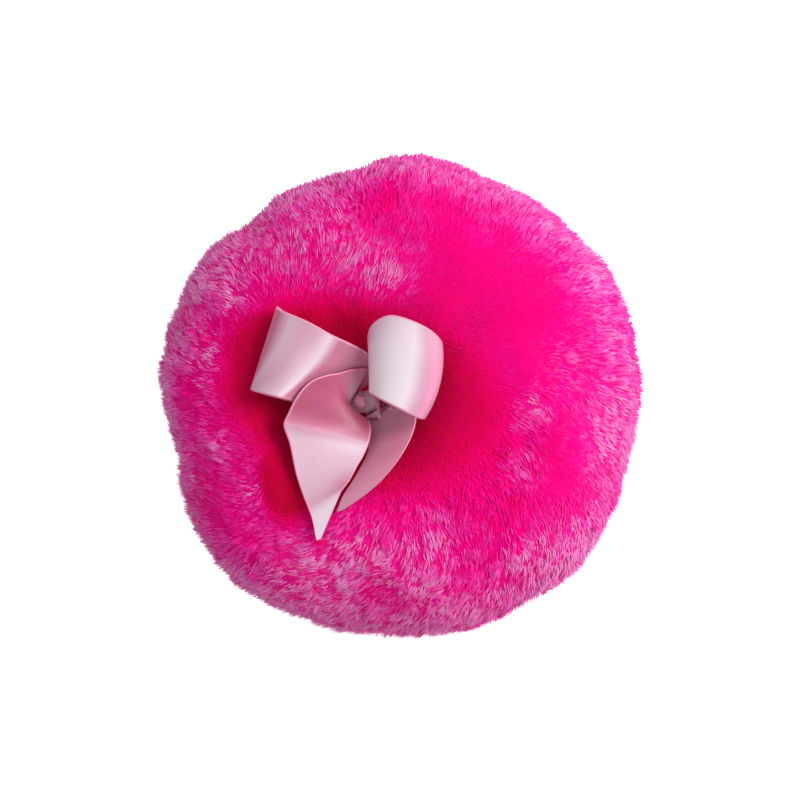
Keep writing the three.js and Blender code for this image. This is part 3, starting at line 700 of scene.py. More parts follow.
plush = material("plush pile", 0.7, pile_paint, Specular_IOR_Level=0.05, Sheen_Weight=0.28,
                 Sheen_Roughness=0.45, Sheen_Tint=(1.0, 0.28, 0.70, 1.0))
plush_ground = material("plush ground", 0.9, ground_paint, Specular_IOR_Level=0.05)

# %% [markdown]
# ## The dense lower pile
#
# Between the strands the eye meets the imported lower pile. One closed, bumpy shell about half a millimetre
# under the tips stands for it, for each disc of plush. The two shells part by a hair at the seam.

# %% Lower pile of both discs
GROUND_DEPTH, GROUND_BUMPS, CALM_RISE, GROUND_CHANCE = 0.55, 0.12, 0.32, 0.35
GROUND_RANGE, GROUND_LOWEST, GROUND_INSIDE, GROUND_HILLS = (-0.3, 0.6), 0.5, 0.93, (1.8, 12)
SHELL_SIDES, SHELL_ROWS = 200, 70
GROUND_FROM, GROUND_TO, SEAM_SPLIT = 0.012, 0.985, 0.0012  # q at the ends, and half the gap at the seam


def pile_ground(name, low, high, stands_for):
    """A closed shell between two q: outside it follows the tips' relief, inside it lies on the cloth."""
    q = np.linspace(low, high, SHELL_ROWS)[:, None]
    q, angle = (a.ravel() for a in np.broadcast_arrays(q, whole_turn(SHELL_SIDES)))
    surface = pad_point(q, angle, 0)
    sink = GROUND_DEPTH - relief(q, angle, surface) + GROUND_BUMPS * wander(surface, *GROUND_HILLS)[:, 0]
    sink = sink - CALM_RISE * calm_share(surface)
    outside = pad_point(q, angle, np.clip(sink / pile_length(q), *GROUND_RANGE))
    outside[:, 2] = np.maximum(outside[:, 2], GROUND_LOWEST)
    inside = pad_point(q, angle, GROUND_INSIDE)
    # The lower pile's tone chart carries the same painted shade and sheen as the strands.
    chart = np.stack([q, np.clip(tone(surface, angle, GROUND_CHANCE), TONE_LOW, TONE_HIGH)], -1)

    def round_trip(there, back):
        """The rings of there, then those of back from its last to its first."""
        rings = back.reshape(SHELL_ROWS, SHELL_SIDES, -1)[::-1]
        return np.concatenate([there, rings.reshape(len(back), -1)])

    faces = [block[:, ::-1] for block in ring_faces(2 * SHELL_ROWS, SHELL_SIDES, poles=False)]
    made = piece(name, round_trip(outside, inside), faces, plush_ground, "puff", stands_for,
                 charts={"tone": round_trip(chart, chart)})


pile_ground("back_pile_ground", GROUND_FROM, outer.rim_share - SEAM_SPLIT, ["back_pile"])
pile_ground("face_pile_ground", outer.rim_share + SEAM_SPLIT, GROUND_TO, ["face_pile"])

# %% Grow the pile
STRANDS_PER_PIECE = 17400
BACK_PIECES, FACE_PIECES, STRAND_WIDTHS = 6, 3, (0.75, 1.2)
STRANDS_FROM, STRANDS_TO, QUICK_WIDTH = 0.006, 0.97, 2.0
rng = np.random.default_rng(20)
for side, pieces, low, high in (("back", BACK_PIECES, STRANDS_FROM, outer.rim_share),
                                ("face", FACE_PIECES, outer.rim_share, STRANDS_TO)):
    q, angle = scatter_roots(pieces * STRANDS_PER_PIECE, low, high, rng)
    order = np.argsort(angle, kind="stable")
    for k, members in enumerate(np.array_split(order, pieces)):
        paths, facing, value = strand_paths(q[members], angle[members], rng)
        widths = rng.uniform(*STRAND_WIDTHS, len(members)) * 1.0
        points, faces, uv = spikes(paths, facing, value, widths)
        piece(f"{side}_pile_strands_{k + 1}", points, faces, plush, "puff",
              [f"{side}_pile"], charts={"OFBake": uv}, smooth=False)

# %% [markdown]
# ## Cloth and filling
#
# Inside the pile is the bag: two woven discs, sewn with their edges turned in, round loose fibre. They are
# turned shapes, so each is a closed profile, run anticlockwise from the axis, swept round. The weave is two
# crossing bands, and the fibre a lumpy white.

# %% Turned pieces
CLOTH_THICKNESS, SEAM_FLANGE, HALF_GAP, NEST_GAP = 0.8, 4.0, 0.15, 0.45
TACK_HOLE, ANCHOR_RADIUS, ANCHOR_DEPTH, TACK_PILE, SEWN_GAP = 0.8, 1.4, 4.0, 6.0, 0.3
FLANGE_INNER = CLOTH_RADIUS - CLOTH_THICKNESS - SEAM_FLANGE
TACK_FLOOR = PAD_HEIGHT - DIMPLE_DEPTH
PADDING_INSET = CLOTH_THICKNESS + NEST_GAP
ANCHOR_HEIGHT = TACK_FLOOR - TACK_PILE - PADDING_INSET - ANCHOR_DEPTH
BAG_SIDES = 120


def bag_back(inset, rise, start):
    """The bag's back from radius start to the rim, drawn in by inset, ending rise above the seam."""
    return back_curve(CLOTH_CROWN_RADIUS, CLOTH_RADIUS - inset, CLOTH_TOP - inset, CLOTH_DIP, start,
                      SEAM_HEIGHT + rise, (30, 40))


def bag_face(inset, fall):
    """The bag's face from the axis to the rim, drawn in by inset, ending fall below the seam."""
    return face_curve(CLOTH_FOOT_RADIUS, CLOTH_RADIUS - inset, CLOTH_FOOT + inset, SEAM_HEIGHT - fall,
                      (40, 20))[::-1]


def turned(profile, sides=BAG_SIDES):
    """Points and faces of a profile of [r, z] swept round. Ends on the axis get one point each, and any
    other profile closes on itself."""
    has_poles = profile[0, 0] == 0
    rings = profile[1:-1] if has_poles else profile
    angle = whole_turn(sides)
    r, z = rings[:, :1], rings[:, 1:]
    points = np.stack([r * np.cos(angle), r * np.sin(angle), z + 0 * angle], -1).reshape(-1, 3)
    if has_poles:
        points = np.concatenate([points, [[0, 0, profile[0, 1]], [0, 0, profile[-1, 1]]]])
    return points, ring_faces(len(rings), sides, has_poles)


def lean(points):
    """Moves the middle of a round piece under the tack and leaves its rim where it is."""
    follow = 1 - smoothstep(from_axis(points), TACK_ZONE, EVEN_RADIUS)
    return points + follow[:, None] * TO_TACK

# %% Woven cloth and loose fibre
def weave_paint(start):
    place = start.own_place()
    wefts, warps = (place.bands(way, 420.0, 0.5, Detail=1.0) for way in ("X", "Y"))
    fibre = place.noise(700.0, 3.0)
    bump = (wefts * 0.5 + warps * 0.5 + fibre * 0.3).bump(0.6, 0.0002)
    shade = (wefts * warps + fibre * 0.4).smooth(0.1, 0.9)
    return {"Base Color": shade.mix(colour(196, 10, 84), colour(226, 44, 116)), "Normal": bump}


def fibre_paint(start):
    place = start.own_place()
    lumps, curls = place.noise(160.0, 6.0), place.noise(700.0, 5.0, Distortion=2.0)
    shade = curls.smooth(0.3, 0.7).mix(colour(226, 222, 216), colour(248, 246, 242))
    return {"Base Color": shade, "Normal": (lumps * 0.6 + curls * 0.5).bump(0.8, 0.0008)}


woven = material("woven backing", 0.85, weave_paint, Sheen_Weight=0.2)
loose_fibre = material("loose white fibre", 0.95, fibre_paint, Sheen_Weight=0.4)

# %% The two discs of cloth and their filling
back_bag = np.concatenate([
    bag_back(CLOTH_THICKNESS, HALF_GAP + CLOTH_THICKNESS, TACK_HOLE),
    [[FLANGE_INNER, SEAM_HEIGHT + HALF_GAP + CLOTH_THICKNESS], [FLANGE_INNER, SEAM_HEIGHT + HALF_GAP]],
    bag_back(0, HALF_GAP, TACK_HOLE)[::-1]])
face_bag = np.concatenate([
    bag_face(0, HALF_GAP),
    [[FLANGE_INNER, SEAM_HEIGHT - HALF_GAP], [FLANGE_INNER, SEAM_HEIGHT - HALF_GAP - CLOTH_THICKNESS]],
    bag_face(CLOTH_THICKNESS, HALF_GAP + CLOTH_THICKNESS)[::-1]])
for name, profile in (("back_cloth", back_bag), ("face_cloth", face_bag)):
    points, faces = turned(profile)
    cloth = piece(f"{name}_woven", lean(points), faces, woven, "puff", [name])
    over = np.diff(profile[:len(profile) // 2], axis=0)
    across = 2 * (np.hypot(*over.T).sum() + SEAM_FLANGE) * MM
    print(name, "cut", round(across / MM), "mm across")

GROOVE_HALF, POCKET_RADIUS = HALF_GAP + CLOTH_THICKNESS + NEST_GAP, ANCHOR_RADIUS + SEWN_GAP
fill_profile = np.concatenate([
    bag_face(PADDING_INSET, GROOVE_HALF),
    [[FLANGE_INNER - NEST_GAP, SEAM_HEIGHT - GROOVE_HALF],
     [FLANGE_INNER - NEST_GAP, SEAM_HEIGHT + GROOVE_HALF]],
    bag_back(PADDING_INSET, GROOVE_HALF, TACK_HOLE)[::-1],
    [[TACK_HOLE, ANCHOR_HEIGHT + POCKET_RADIUS], [POCKET_RADIUS, ANCHOR_HEIGHT + POCKET_RADIUS],
     [POCKET_RADIUS, ANCHOR_HEIGHT - POCKET_RADIUS], [0, ANCHOR_HEIGHT - POCKET_RADIUS]]])
points, faces = turned(fill_profile)
LUMP, LUMP_HILLS, LUMP_ZONE = 0.12, (4, 40), (3, 8)
lumps = LUMP * (1 + wander(points, *LUMP_HILLS)[:, :1]) * smoothstep(from_axis(points), *LUMP_ZONE)[:, None]
points = points - lumps * unit(points - [0, 0, SEAM_HEIGHT])
padding = piece("padding_fibre", lean(points), faces, loose_fibre, "puff", ["padding"])

# %% [markdown]
# ## Threads
#
# Sewing thread is three plies twisted together. A tube along the stitches gets that twist as a section of
# three lobes that turns as it goes. The machine seam crosses the two cloths to and fro, and the closing
# stitches, sewn by hand, cross more steeply and closer together.

# %% Seam and closing stitches
STITCH_RADIUS, STITCH_REACH, THREAD_RADIUS, TWIST_PITCH = 32.5, 0.8, 0.2, 1.2
SEAM_PITCH, CLOSING_PITCH, CLOSING_GAP, THREAD_SIDES = 5.4, 2.6, np.radians(60), 9


def tube(path, radius, twist_pitch):
    """A closed tube along a path: radius (0.88 + 0.12 cos 3(a - turn)), with one turn in each twist pitch."""
    ahead = unit(np.gradient(path, axis=0))
    side = unit(np.cross(unit(path * [1, 1, 0]), ahead))
    up = np.cross(ahead, side)
    length = np.concatenate([[0], np.cumsum(np.linalg.norm(np.diff(path, axis=0), axis=1))])
    a = whole_turn(THREAD_SIDES)[None, :]
    lobes = radius * (0.88 + 0.12 * np.cos(3 * (a - 2 * np.pi * length[:, None] / twist_pitch)))
    points = path[:, None] + lobes[..., None] * (
        np.cos(a)[..., None] * side[:, None] + np.sin(a)[..., None] * up[:, None])
    points = np.concatenate([points.reshape(-1, 3), path[:1], path[-1:]])
    return points, ring_faces(len(path), THREAD_SIDES)


def stitches(start, end, pitch, squareness):
    """A path round the rim that crosses the seam to and fro: height = reach clamp(squareness sin)."""
    count = round((end - start) * STITCH_RADIUS / pitch)
    t = np.linspace(0, 1, count * 16 + 1)
    wave = np.clip(squareness * np.sin(2 * np.pi * count * t), -1, 1)
    angle = start + (end - start) * t
    return np.stack([STITCH_RADIUS * np.cos(angle), STITCH_RADIUS * np.sin(angle),
                     SEAM_HEIGHT + STITCH_REACH * wave], -1)


def thread_paint(start, low=colour(206, 52, 112), high=colour(232, 92, 146)):
    fibre = start.own_place().noise(1800.0, 4.0)
    return {"Base Color": fibre.smooth(0.35, 0.65).mix(low, high), "Normal": fibre.bump(0.5, 0.0001)}


def cord_paint(start):
    return thread_paint(start, colour(240, 146, 178), colour(250, 188, 212))


sewing = material("twisted sewing thread", 0.55, thread_paint, Sheen_Weight=0.2)
tack_cord = material("stout tack thread", 0.5, cord_paint, Sheen_Weight=0.2)
RUN_GAP = 2 * (THREAD_RADIUS + SEWN_GAP) / STITCH_RADIUS
closing_from, closing_to = -np.pi / 2 - CLOSING_GAP / 2, -np.pi / 2 + CLOSING_GAP / 2
for name, path in (
        ("seam_thread", stitches(closing_to + RUN_GAP, closing_from + 2 * np.pi - RUN_GAP, SEAM_PITCH, 1)),
        ("closing_thread", stitches(closing_from, closing_to, CLOSING_PITCH, 2))):
    points, faces = tube(path, THREAD_RADIUS, TWIST_PITCH)
    piece(f"{name}_twisted", points, faces, sewing, "puff", [name])

# %% [markdown]
# ## The tack thread
#
# One stout thread runs up through the pad, from its anchor in the filling, through the knot, to a small
# round head on top. It is a turned shape whose surface winds in low ridges, as thread does round itself.

# %% Tack thread
KNOT_LENGTH, KNOT_DIAMETER, GATHER_HALF_SHARE = 5.6, 4.6, 0.46
KNOT_CENTRE = TACK_FLOOR + BOW_CLEARANCE + KNOT_DIAMETER / 2
TACK_RADIUS, HEAD_RADIUS, HEAD_THICKNESS, TACK_SIDES = 0.5, 1.2, 0.9, 36
head_seat = KNOT_CENTRE + KNOT_DIAMETER / 2 + SEWN_GAP
t = np.linspace(-np.pi / 2, 0.35 * np.pi, 16)
anchor = np.stack([ANCHOR_RADIUS * np.cos(t), ANCHOR_HEIGHT + ANCHOR_RADIUS * np.sin(t)], -1)
anchor[0, 0] = 0
z = np.linspace(ANCHOR_HEIGHT + ANCHOR_RADIUS + TACK_RADIUS, head_seat, 60)
shank = np.stack([np.full(60, TACK_RADIUS), z], -1)
t = np.linspace(-0.30, np.pi / 2, 22)
head = np.stack([HEAD_RADIUS * np.cos(t), head_seat + HEAD_THICKNESS * (0.3 + 0.7 * np.sin(t))], -1)
head[-1, 0] = 0
points, faces = turned(np.concatenate([anchor, shank, [[HEAD_RADIUS * 0.8, head_seat]], head]), TACK_SIDES)
winding = 1 + 0.035 * np.cos(3 * np.arctan2(points[:, 1], points[:, 0]) - 7.0 * points[:, 2])
points[:, :2] *= winding[:, None]
piece("tack_thread_twisted", points + TO_TACK, faces, tack_cord, "puff", ["tack_thread"])

# %% [markdown]
# ## The ribbon
#
# A ribbon is woven flat, so it bends along its length and hardly at all across. Each part of the bow is
# drawn by its two selvedges, the woven edges: two smooth curves through places that are written as shares of
# the ribbon's width. Straight lines from one selvedge to the other make the cloth. Near the knot its
# whole width is gathered into small pleats, which keep the cloth's real width. A stiff ribbon also keeps
# sharp creases where it was pressed, so these are added as low ridges along it.

# %% Selvedges as smooth curves
GATHER_REACH, GATHER_HALF = 3.6, KNOT_DIAMETER * GATHER_HALF_SHARE
LAYER = {"lower": -0.28, "middle": 0.02, "upper": 0.52}


def pile_floor(reach):
    """Height that the pile reaches anywhere on this circle round the tack: the hollow's far side."""
    offset = np.hypot(*TACK)
    radius = reach + offset * smoothstep(reach + offset, TACK_ZONE, EVEN_RADIUS)
    hollow = (1 + np.cos(np.pi * np.minimum(radius, CROWN_RADIUS) / CROWN_RADIUS)) / 2
    return PAD_HEIGHT - DIMPLE_DEPTH * hollow


def smooth_curve(places, u):
    """A centripetal Catmull-Rom curve: each span is a cubic whose end slopes come from its neighbours."""
    ends = np.concatenate([[2 * places[0] - places[1]], places, [2 * places[-1] - places[-2]]])
    span = np.minimum((u * (len(places) - 1)).astype(int), len(places) - 2)
    t = (u * (len(places) - 1) - span)[:, None]
    p0, p1, p2, p3 = (ends[span + k] for k in range(4))
    d0, d1, d2 = (np.maximum(np.linalg.norm(b - a, axis=1, keepdims=True) ** 0.5, 1e-4)
                  for a, b in ((p0, p1), (p1, p2), (p2, p3)))
    start = ((p1 - p0) / d0 - (p2 - p0) / (d0 + d1) + (p2 - p1) / d1) * d1
    finish = ((p2 - p1) / d1 - (p3 - p1) / (d1 + d2) + (p3 - p2) / d2) * d1
    return (p1 + start * t + (3 * (p2 - p1) - 2 * start - finish) * t ** 2
            + (2 * (p1 - p2) + start + finish) * t ** 3)


def gathered_row(side, layer, turn=1):
    """Both selvedges against the knot's end at this side, in one of its three layers."""
    height = KNOT_CENTRE + KNOT_DIAMETER * LAYER[layer]
    lift = height - pile_floor(np.hypot(GATHER_REACH, GATHER_HALF)) - BOW_CLEARANCE
    return [[side * GATHER_REACH / RIBBON_WIDTH, edge * GATHER_HALF / RIBBON_WIDTH, lift / RIBBON_WIDTH]
            for edge in (turn, -turn)]


def selvedge(rows, edge, u):
    """One woven edge: x, y and the lift over the pile in ribbon widths, to millimetres, as a curve."""
    shares = np.array([row[edge] for row in rows])
    places = shares * RIBBON_WIDTH
    places[:, 2] += pile_floor(from_axis(places)) + BOW_CLEARANCE
    return smooth_curve(places, u)


def knot_cover(places):
    """Height of a ribbon that lies over the knot's round back, or 0 where the knot isn't under it."""
    reach = KNOT_DIAMETER / 2 + 2 * SEWN_GAP
    x, y = np.abs(places[..., 0]), np.abs(places[..., 1])
    over = KNOT_CENTRE + np.sqrt(np.maximum(reach ** 2 - y ** 2, 0))
    return np.where((x < KNOT_LENGTH / 2 + SEWN_GAP) & (y < reach), over, 0)

# %% Places of the four ribbon parts, in ribbon widths from the tack: [x, y, lift] of each selvedge
ROWS = {
    "left_loop": [
        gathered_row(-1, "lower"),
        [[-0.39, 0.35, 0.08], [-0.41, -0.07, 0.08]], [[-0.61, 0.72, 0.03], [-0.72, -0.01, 0.05]],
        [[-0.81, 1.02, 0.03], [-1.06, 0.09, 0.02]], [[-0.87, 1.08, 0.11], [-1.18, 0.14, 0.07]],
        [[-0.81, 1.04, 0.21], [-1.12, 0.12, 0.18]], [[-0.47, 0.90, 0.35], [-0.82, 0.05, 0.42]],
        [[-0.24, 0.77, 0.44], [-0.67, 0.01, 0.41]], [[0.14, 0.54, 0.28], [-0.46, -0.04, 0.14]],
        [[0.18, 0.38, 0.16], [-0.37, -0.06, 0.09]], [[0.09, 0.22, 0.11], [-0.31, -0.10, 0.07]],
        gathered_row(-1, "middle")],
    "right_loop": [
        gathered_row(1, "middle"),
        [[0.44, 0.35, 0.10], [0.41, -0.04, 0.23]], [[0.75, 0.60, 0.02], [0.64, -0.10, 0.21]],
        [[0.96, 0.64, 0.06], [0.76, -0.16, 0.22]], [[1.02, 0.66, 0.17], [0.81, -0.19, 0.27]],
        [[0.95, 0.77, 0.31], [0.76, -0.18, 0.42]], [[0.75, 0.89, 0.40], [0.54, -0.07, 0.70]],
        [[0.46, 0.96, 0.41], [0.31, 0.04, 0.77]], [[0.23, 0.84, 0.38], [0.18, 0.10, 0.65]],
        [[0.16, 0.54, 0.34], [0.17, 0.06, 0.44]],
        gathered_row(1, "upper")],
    "left_tail": [
        [[-0.07, 0.14, 0.31], [-0.15, -0.12, 0.30]], [[0.0, 0.25, 0.30], [-0.18, -0.13, 0.29]],
        [[0.10, 0.37, 0.30], [-0.20, -0.14, 0.29]], [[-0.05, 0.37, 0.42], [-0.15, -0.16, 0.29]],
        [[-0.17, 0.33, 0.54], [-0.08, -0.18, 0.30]], [[-0.31, 0.30, 0.61], [0.01, -0.20, 0.32]],
        [[-0.47, 0.23, 0.61], [0.10, -0.20, 0.33]], [[-0.61, 0.08, 0.56], [0.14, -0.27, 0.33]],
        [[-0.73, -0.13, 0.42], [0.15, -0.37, 0.33]], [[-0.78, -0.25, 0.34], [0.14, -0.46, 0.32]],
        [[-0.73, -0.47, 0.23], [0.09, -0.60, 0.28]], [[-0.66, -0.82, 0.09], [0.02, -0.73, 0.22]],
        [[-0.58, -1.06, 0.05], [-0.05, -0.87, 0.14]], [[-0.51, -1.22, 0.06], [-0.13, -0.99, 0.11]],
        [[-0.48, -1.34, 0.02], [-0.22, -1.17, 0.03]], [[-0.43, -1.56, 0.03], [-0.38, -1.54, 0.03]]],
    "right_tail": [
        gathered_row(1, "lower", -1),
        [[0.05, -0.17, 0.01], [0.46, -0.06, 0.02]], [[0.06, -0.30, 0.06], [0.66, -0.14, 0.09]],
        [[0.09, -0.44, 0.13], [0.67, -0.26, 0.15]], [[0.11, -0.56, 0.17], [0.63, -0.40, 0.15]],
        [[0.01, -0.82, 0.13], [0.49, -0.66, 0.16]], [[-0.09, -0.99, 0.06], [0.30, -0.89, 0.11]],
        [[-0.13, -1.06, 0.05], [0.10, -1.06, 0.06]], [[-0.20, -1.23, 0.03], [-0.14, -1.22, 0.03]]],
}
FORM = {  # how far the middle stands outwards and upwards, as shares; 1 where the far end is gathered too
    "left_loop": (0.0, 0.0, 1), "right_loop": (0.11, 0.0, 1),
    "left_tail": (0.0, 0.0, 0), "right_tail": (0.0, 0.03, 0),
}
CREASES = {  # u at the first selvedge, how far u drifts across the ribbon, height in mm, width in u
    "left_loop": [(0.655, -0.11, 0.45, 0.035)],
    "right_loop": [(0.57, 0.0, 0.05, 0.03)],
    "left_tail": [(0.60, 0.0, 0.22, 0.03), (0.86, 0.0, 0.25, 0.03)],
    "right_tail": [(0.45, 0.03, 0.15, 0.03)],
}
PLEATS, PLEAT_DEPTH, THICKNESS, SELVEDGE_BEAD = 5, 0.42, 0.2, 0.12
RIPPLE, RIPPLE_HILLS, REST_BLEND = 0.10, (5.0, 60), 0.4

# %% [markdown]
# ## Satin
#
# Satin is a weave in which long threads lie side by side on the surface, so it shines along its length and
# shows fine streaks. Its selvedges are woven tighter, and their deeper pink is a painted glow of light that
# comes through the thin edge. The streaks follow the ribbon's own chart: across it from 0 to 1, and along it
# in ribbon widths. Thin satin over magenta fur also glows rose where light reaches it only off its
# neighbours: in the folds, near the knot and on the reverse. That rose is painted shade. A second chart,
# `shade`, holds how deep it is, from 0 to 1, where the lowest values paint highlights, and beside it how much
# a fold glows with the light that comes through its edge, a painted glow as well.

# %% Satin material
# SATIN_EDGE_GLOW: a painted pink glow of light through the thin selvedges and folds.
SATIN_EDGE_GLOW = colour(252, 158, 198)
# Lit and shaded copies of the satin: near white at 0 is a painted highlight, the lit colour near 0.25, and
# painted rose shade towards 1.
SATIN_SHADE_STOPS = [(0.0, colour(252, 236, 246)), (0.25, colour(238, 202, 220)), (0.5, colour(222, 164, 190)),
               (0.75, colour(210, 120, 152)), (1.0, colour(190, 86, 120))]


def satin_paint(start):
    chart = start.chart("surface")
    across = chart.parts()[0]
    depth, glow = start.chart("shade").parts()
    stretched = start.node("ShaderNodeMapping", inputs={"Vector": chart, "Scale": (1.0, 0.06, 1.0)})
    streaks = stretched.noise(90.0, 4.0)
    threads = chart.bands("X", 16.0, 0.6)
    middle = 1 - 2 * start.math("ABSOLUTE", across - 0.5)
    edge = 1 - middle.smooth(0.025, 0.06)
    # Painted shade and highlight read from the shade chart, with fine streaks.
    body = (depth + streaks * 0.10 - 0.05).ramp(SATIN_SHADE_STOPS)
    bump = (streaks * 0.6 + threads * 0.4 + edge * 0.5).bump(0.25, 0.0001)
    # Painted glow on the selvedges and on the folds that let light through.
    rim = start.math("MAXIMUM", edge, glow)
    return {"Base Color": rim.mix(body, SATIN_EDGE_GLOW), "Normal": bump, "Roughness": 0.28 + streaks * 0.10}


satin = material("pink satin", 0.32, satin_paint, Specular_IOR_Level=0.4, Sheen_Weight=0.05,
                 Sheen_Roughness=0.35, Sheen_Tint=(1.0, 0.82, 0.90, 1.0))

# %% How deep the painted rose shade is over each ribbon part
# FOLD_GLOW: how strong the painted glow of light through a fold's edge is.
FOLD_GLOW = 0.7
SHADE_ALONG = {  # places along the part, and the depth there; straight lines between
    "left_loop": ([0.0, 0.34, 0.40, 0.46, 0.50, 0.545, 0.60, 0.645, 0.665, 0.72, 0.86, 1.0],
                  [0.90, 0.80, 0.84, 0.76, 0.34, 0.44, 0.30, 0.08, 0.70, 0.62, 0.75, 0.90]),
    "right_loop": ([0.0, 0.34, 0.44, 0.52, 0.555, 0.575, 0.60, 0.64, 0.72, 0.80, 0.90, 1.0],
                   [0.90, 0.80, 0.60, 0.62, 0.46, 0.24, 0.06, 0.06, 0.10, 0.14, 0.30, 0.60]),
    "left_tail": ([0.0, 0.20, 0.30, 0.50, 0.57, 0.64, 0.70, 0.80, 0.85, 0.90, 1.0],
                  [0.45, 0.66, 0.98, 0.98, 0.70, 0.28, 0.32, 0.40, 0.46, 0.16, 0.05]),
    "right_tail": ([0.0, 0.35, 0.60, 1.0], [0.25, 0.60, 0.70, 0.62]),
}
SHADE_BEND = {"left_loop": 0.10}
# Spots deepen the painted shade; a negative depth paints a highlight.
SHADE_SPOTS = {  # u, v, reach along, reach across, depth added
    "left_loop": [(0.60, 0.10, 0.05, 0.25, 0.14), (0.47, 0.75, 0.05, 0.3, 0.06)],
    "right_loop": [(0.80, 0.0, 0.14, 0.25, 0.26), (0.68, 0.9, 0.14, 0.4, -0.18)],
    "left_tail": [(0.20, 0.55, 0.10, 0.3, -0.30), (0.80, 0.85, 0.05, 0.3, 0.20),
                  (0.63, 0.75, 0.04, 0.3, -0.12)],
    "right_tail": [(0.45, 0.8, 0.12, 0.3, 0.08)],
}
GLOWING_FOLDS = {  # where a fold lets light through its edge: u, reach along
    "left_loop": [(0.405, 0.010)], "right_loop": [(0.50, 0.030), (0.90, 0.020)],
}


def fold_shade(name, u, v):
    """The depth along the ribbon, its lines bent by b v^3, with soft spots: depth exp(-((u - u0) / a)^2
    - ((v - v0) / b)^2). And the glow of its folds: exp(-((u - u0) / a)^2)."""
    bent = u[:, None] + SHADE_BEND.get(name, 0.0) * v[None, :] ** 3
    depth = np.interp(bent, *SHADE_ALONG[name])
    for u0, v0, reach_u, reach_v, added in SHADE_SPOTS[name]:
        along, across = (u[:, None] - u0) / reach_u, (v[None, :] - v0) / reach_v
        depth = depth + added * np.exp(-along ** 2 - across ** 2)
    glow = np.zeros_like(depth)
    for u0, reach_u in GLOWING_FOLDS.get(name, []):
        glow = np.maximum(glow, FOLD_GLOW * np.exp(-((u[:, None] - u0) / reach_u) ** 2))
    return np.stack([np.clip(depth, 0.0, 1.0), glow], -1).reshape(-1, 2)

# %% Cloth between two selvedges
def ribbon_middle(name, along, across):
    """The ribbon's middle surface: straight from one selvedge to the other, fuller at its middle, pleated
    where it is gathered, creased and a little rippled, and lifted over the pile and the knot."""
    u, v = np.linspace(0, 1, along), np.linspace(0, 1, across)
    first, second = (selvedge(ROWS[name], edge, u)[:, None] for edge in (0, 1))
    places = first + (second - first) * v[None, :, None]
    full = RIBBON_WIDTH * np.sin(np.pi * u)[:, None] * (4 * v * (1 - v))[None, :]
    stand, bulge, far_end = FORM[name]
    outward = stand * full * np.sin(np.pi * u)[:, None] ** 3 / from_axis(places)
    places[..., :2] *= (1 + outward)[..., None]
    gather = np.maximum(0, 1 - 5 * u) ** 2 + far_end * np.maximum(0, 5 * u - 4) ** 2
    pleat = PLEAT_DEPTH * gather[:, None] * np.sin(2 * np.pi * PLEATS * v)[None, :]
    free = (1 - np.minimum(gather, 1))[:, None] * np.sin(np.pi * np.clip(u, 0.02, 0.98))[:, None] ** 0.5
    ripple = RIPPLE * free * wander(places.reshape(-1, 3), *RIPPLE_HILLS)[:, 0].reshape(along, across)
    crease = sum(height * np.exp(-np.abs(u[:, None] - at - drift * v[None, :]) / width)
                 for at, drift, height, width in CREASES[name])
    places[..., 2] += bulge * full + pleat + ripple + crease
    over_pile = pile_floor(from_axis(places)) + BOW_CLEARANCE
    rest = np.maximum(over_pile, knot_cover(places)) + THICKNESS / 2
    near = np.maximum(REST_BLEND - np.abs(places[..., 2] - rest), 0) / REST_BLEND
    places[..., 2] = np.maximum(places[..., 2], rest) + near ** 2 * REST_BLEND / 4
    return places, u, v


def ribbon(name, along=150, across=45):
    """Gives the middle surface two faces and closes its four edges; the selvedges are a little thicker."""
    places, u, v = ribbon_middle(name, along, across)
    normal = unit(np.cross(np.gradient(places, axis=0), np.gradient(places, axis=1)))
    bead = SELVEDGE_BEAD * np.exp(-((np.minimum(v, 1 - v) - 0.015) / 0.014) ** 2)
    half = (THICKNESS + bead) / 2 * np.where((v == 0) | (v == 1), 0.5, 1)
    faces_out = [places + side * half[None, :, None] * normal for side in (1, -1)]
    points = np.concatenate([f.reshape(-1, 3) for f in faces_out]) + TO_TACK
    steps = np.linalg.norm(np.diff(places, axis=0), axis=2)
    length = steps.sum(0).max()
    chart = np.stack(np.meshgrid(v, u * length / RIBBON_WIDTH), -1).reshape(-1, 2)
    shade = fold_shade(name, u, v)
    count = along * across
    top = grid_faces(along, across)
    i, j = np.arange(along - 1), np.arange(across - 1)
    left, right = i * across, i * across + across - 1
    end = (along - 1) * across + j
    rims = [np.stack([left, left + across, count + left + across, count + left], -1),
            np.stack([right, count + right, count + right + across, right + across], -1),
            np.stack([j + 1, j, count + j, count + j + 1], -1),
            np.stack([end, end + 1, count + end + 1, count + end], -1)]
    faces = [top[:, ::-1], count + top, *(rim[:, ::-1] for rim in rims)]
    made = piece(f"ribbon_{name}", points, faces, satin, "bow", [f"bow_{name}"],
                 charts={"surface": np.concatenate([chart, chart]), "shade": np.concatenate([shade, shade])})
    sides = [places[1:, 1:] - places[:-1, :-1], places[1:, :-1] - places[:-1, 1:]]
    area = np.linalg.norm(np.cross(*sides), axis=2).sum() / 2
    return made, length, area


for name in ROWS:
    made, length, area = ribbon(name)
    print(name, "ribbon length", round(length, 1), "mm, area", round(area), "mm2")

# %% [markdown]
# ## The knot
#
# The ribbon goes once round the middle of the bow, and pulled tight it makes a short pleated barrel. Its
# pleats run round it. The tack thread goes straight through, so a hole is cut with a boolean, which is the
# easiest way to join a bore to a wrinkled surface.

# %% Knot
KNOT_SHADE, KNOT_EDGE, BORE_SIDES = 0.3, 0.06, 24


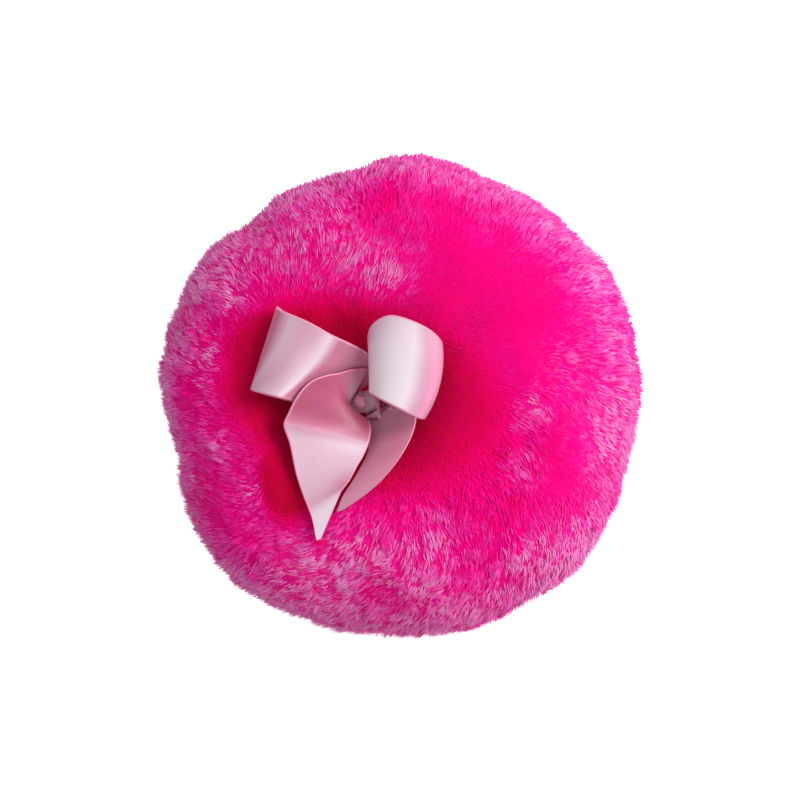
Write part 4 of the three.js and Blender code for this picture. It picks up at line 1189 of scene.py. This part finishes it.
def knot_surface(rows=64, columns=96):
    """A barrel along X. Its radius is (R - pleats) sqrt(1 - 0.45 u^4), with u from -1 to 1 along it; the
    pleats are a slow and a fast cosine of u that wander a little on their way round."""
    u = np.linspace(-1, 1, rows)[:, None]
    turn = whole_turn(columns)[None, :]
    slow = 0.25 * (1 + np.cos(3 * np.pi * u + 0.3 * np.sin(turn))) / 2
    fast = 0.10 * (1 + np.cos(10 * np.pi * u + 1.2 * np.sin(turn + 1) + 0.6 * np.sin(3 * turn))) / 2
    radius = (KNOT_DIAMETER / 2 - slow - fast) * np.sqrt(1 - 0.45 * u ** 4)
    x = KNOT_LENGTH / 2 * u + 0 * turn
    points = np.stack([x, radius * np.cos(turn), KNOT_CENTRE + radius * np.sin(turn)], -1).reshape(-1, 3)
    round_it = turn * KNOT_DIAMETER / 2 / RIBBON_WIDTH
    across = KNOT_EDGE + (1 - 2 * KNOT_EDGE) * (u + 1) / 2
    chart = np.stack(np.broadcast_arrays(across, round_it), -1).reshape(-1, 2)
    ends = [[side * KNOT_LENGTH / 2, 0, KNOT_CENTRE] for side in (-1, 1)]
    chart = np.concatenate([chart, [[KNOT_EDGE, 0.0], [1 - KNOT_EDGE, 0.0]]])
    return np.concatenate([points, ends]) + TO_TACK, ring_faces(rows, columns), chart


points, faces, chart = knot_surface()
# The knot takes an even painted rose shade, for the shade among the loops.
shade = np.tile([KNOT_SHADE, 0.0], (len(chart), 1))
knot = piece("ribbon_knot", points, faces, satin, "bow", ["bow_knot"],
             charts={"surface": chart, "shade": shade})

# %% Bore the knot
bore = bpy.data.meshes.new("bore")
turn = whole_turn(BORE_SIDES)
circle = TACK + TACK_HOLE * np.stack([np.cos(turn), np.sin(turn)], -1)
low, high = (np.column_stack([circle, np.full(BORE_SIDES, KNOT_CENTRE + side * KNOT_DIAMETER)])
             for side in (-1, 1))
ends = [range(BORE_SIDES - 1, -1, -1), range(BORE_SIDES, 2 * BORE_SIDES)]
around = grid_faces(2, BORE_SIDES, wrap=True).tolist()
bore.from_pydata(np.concatenate([low, high]) * MM, [], [*around, *ends])
cutter = bpy.data.objects.new("bore", bore)
bpy.context.scene.collection.objects.link(cutter)
cut = knot.modifiers.new("bore", "BOOLEAN")
cut.operation, cut.solver, cut.object = "DIFFERENCE", "EXACT", cutter
bored = bpy.data.meshes.new_from_object(knot.evaluated_get(bpy.context.evaluated_depsgraph_get()))
knot.modifiers.clear()
knot.data = bored
bpy.data.objects.remove(cutter)
print("knot", len(bored.vertices), "points after boring")

# %% Colour view
bpy.context.scene.view_settings.view_transform = "Standard"
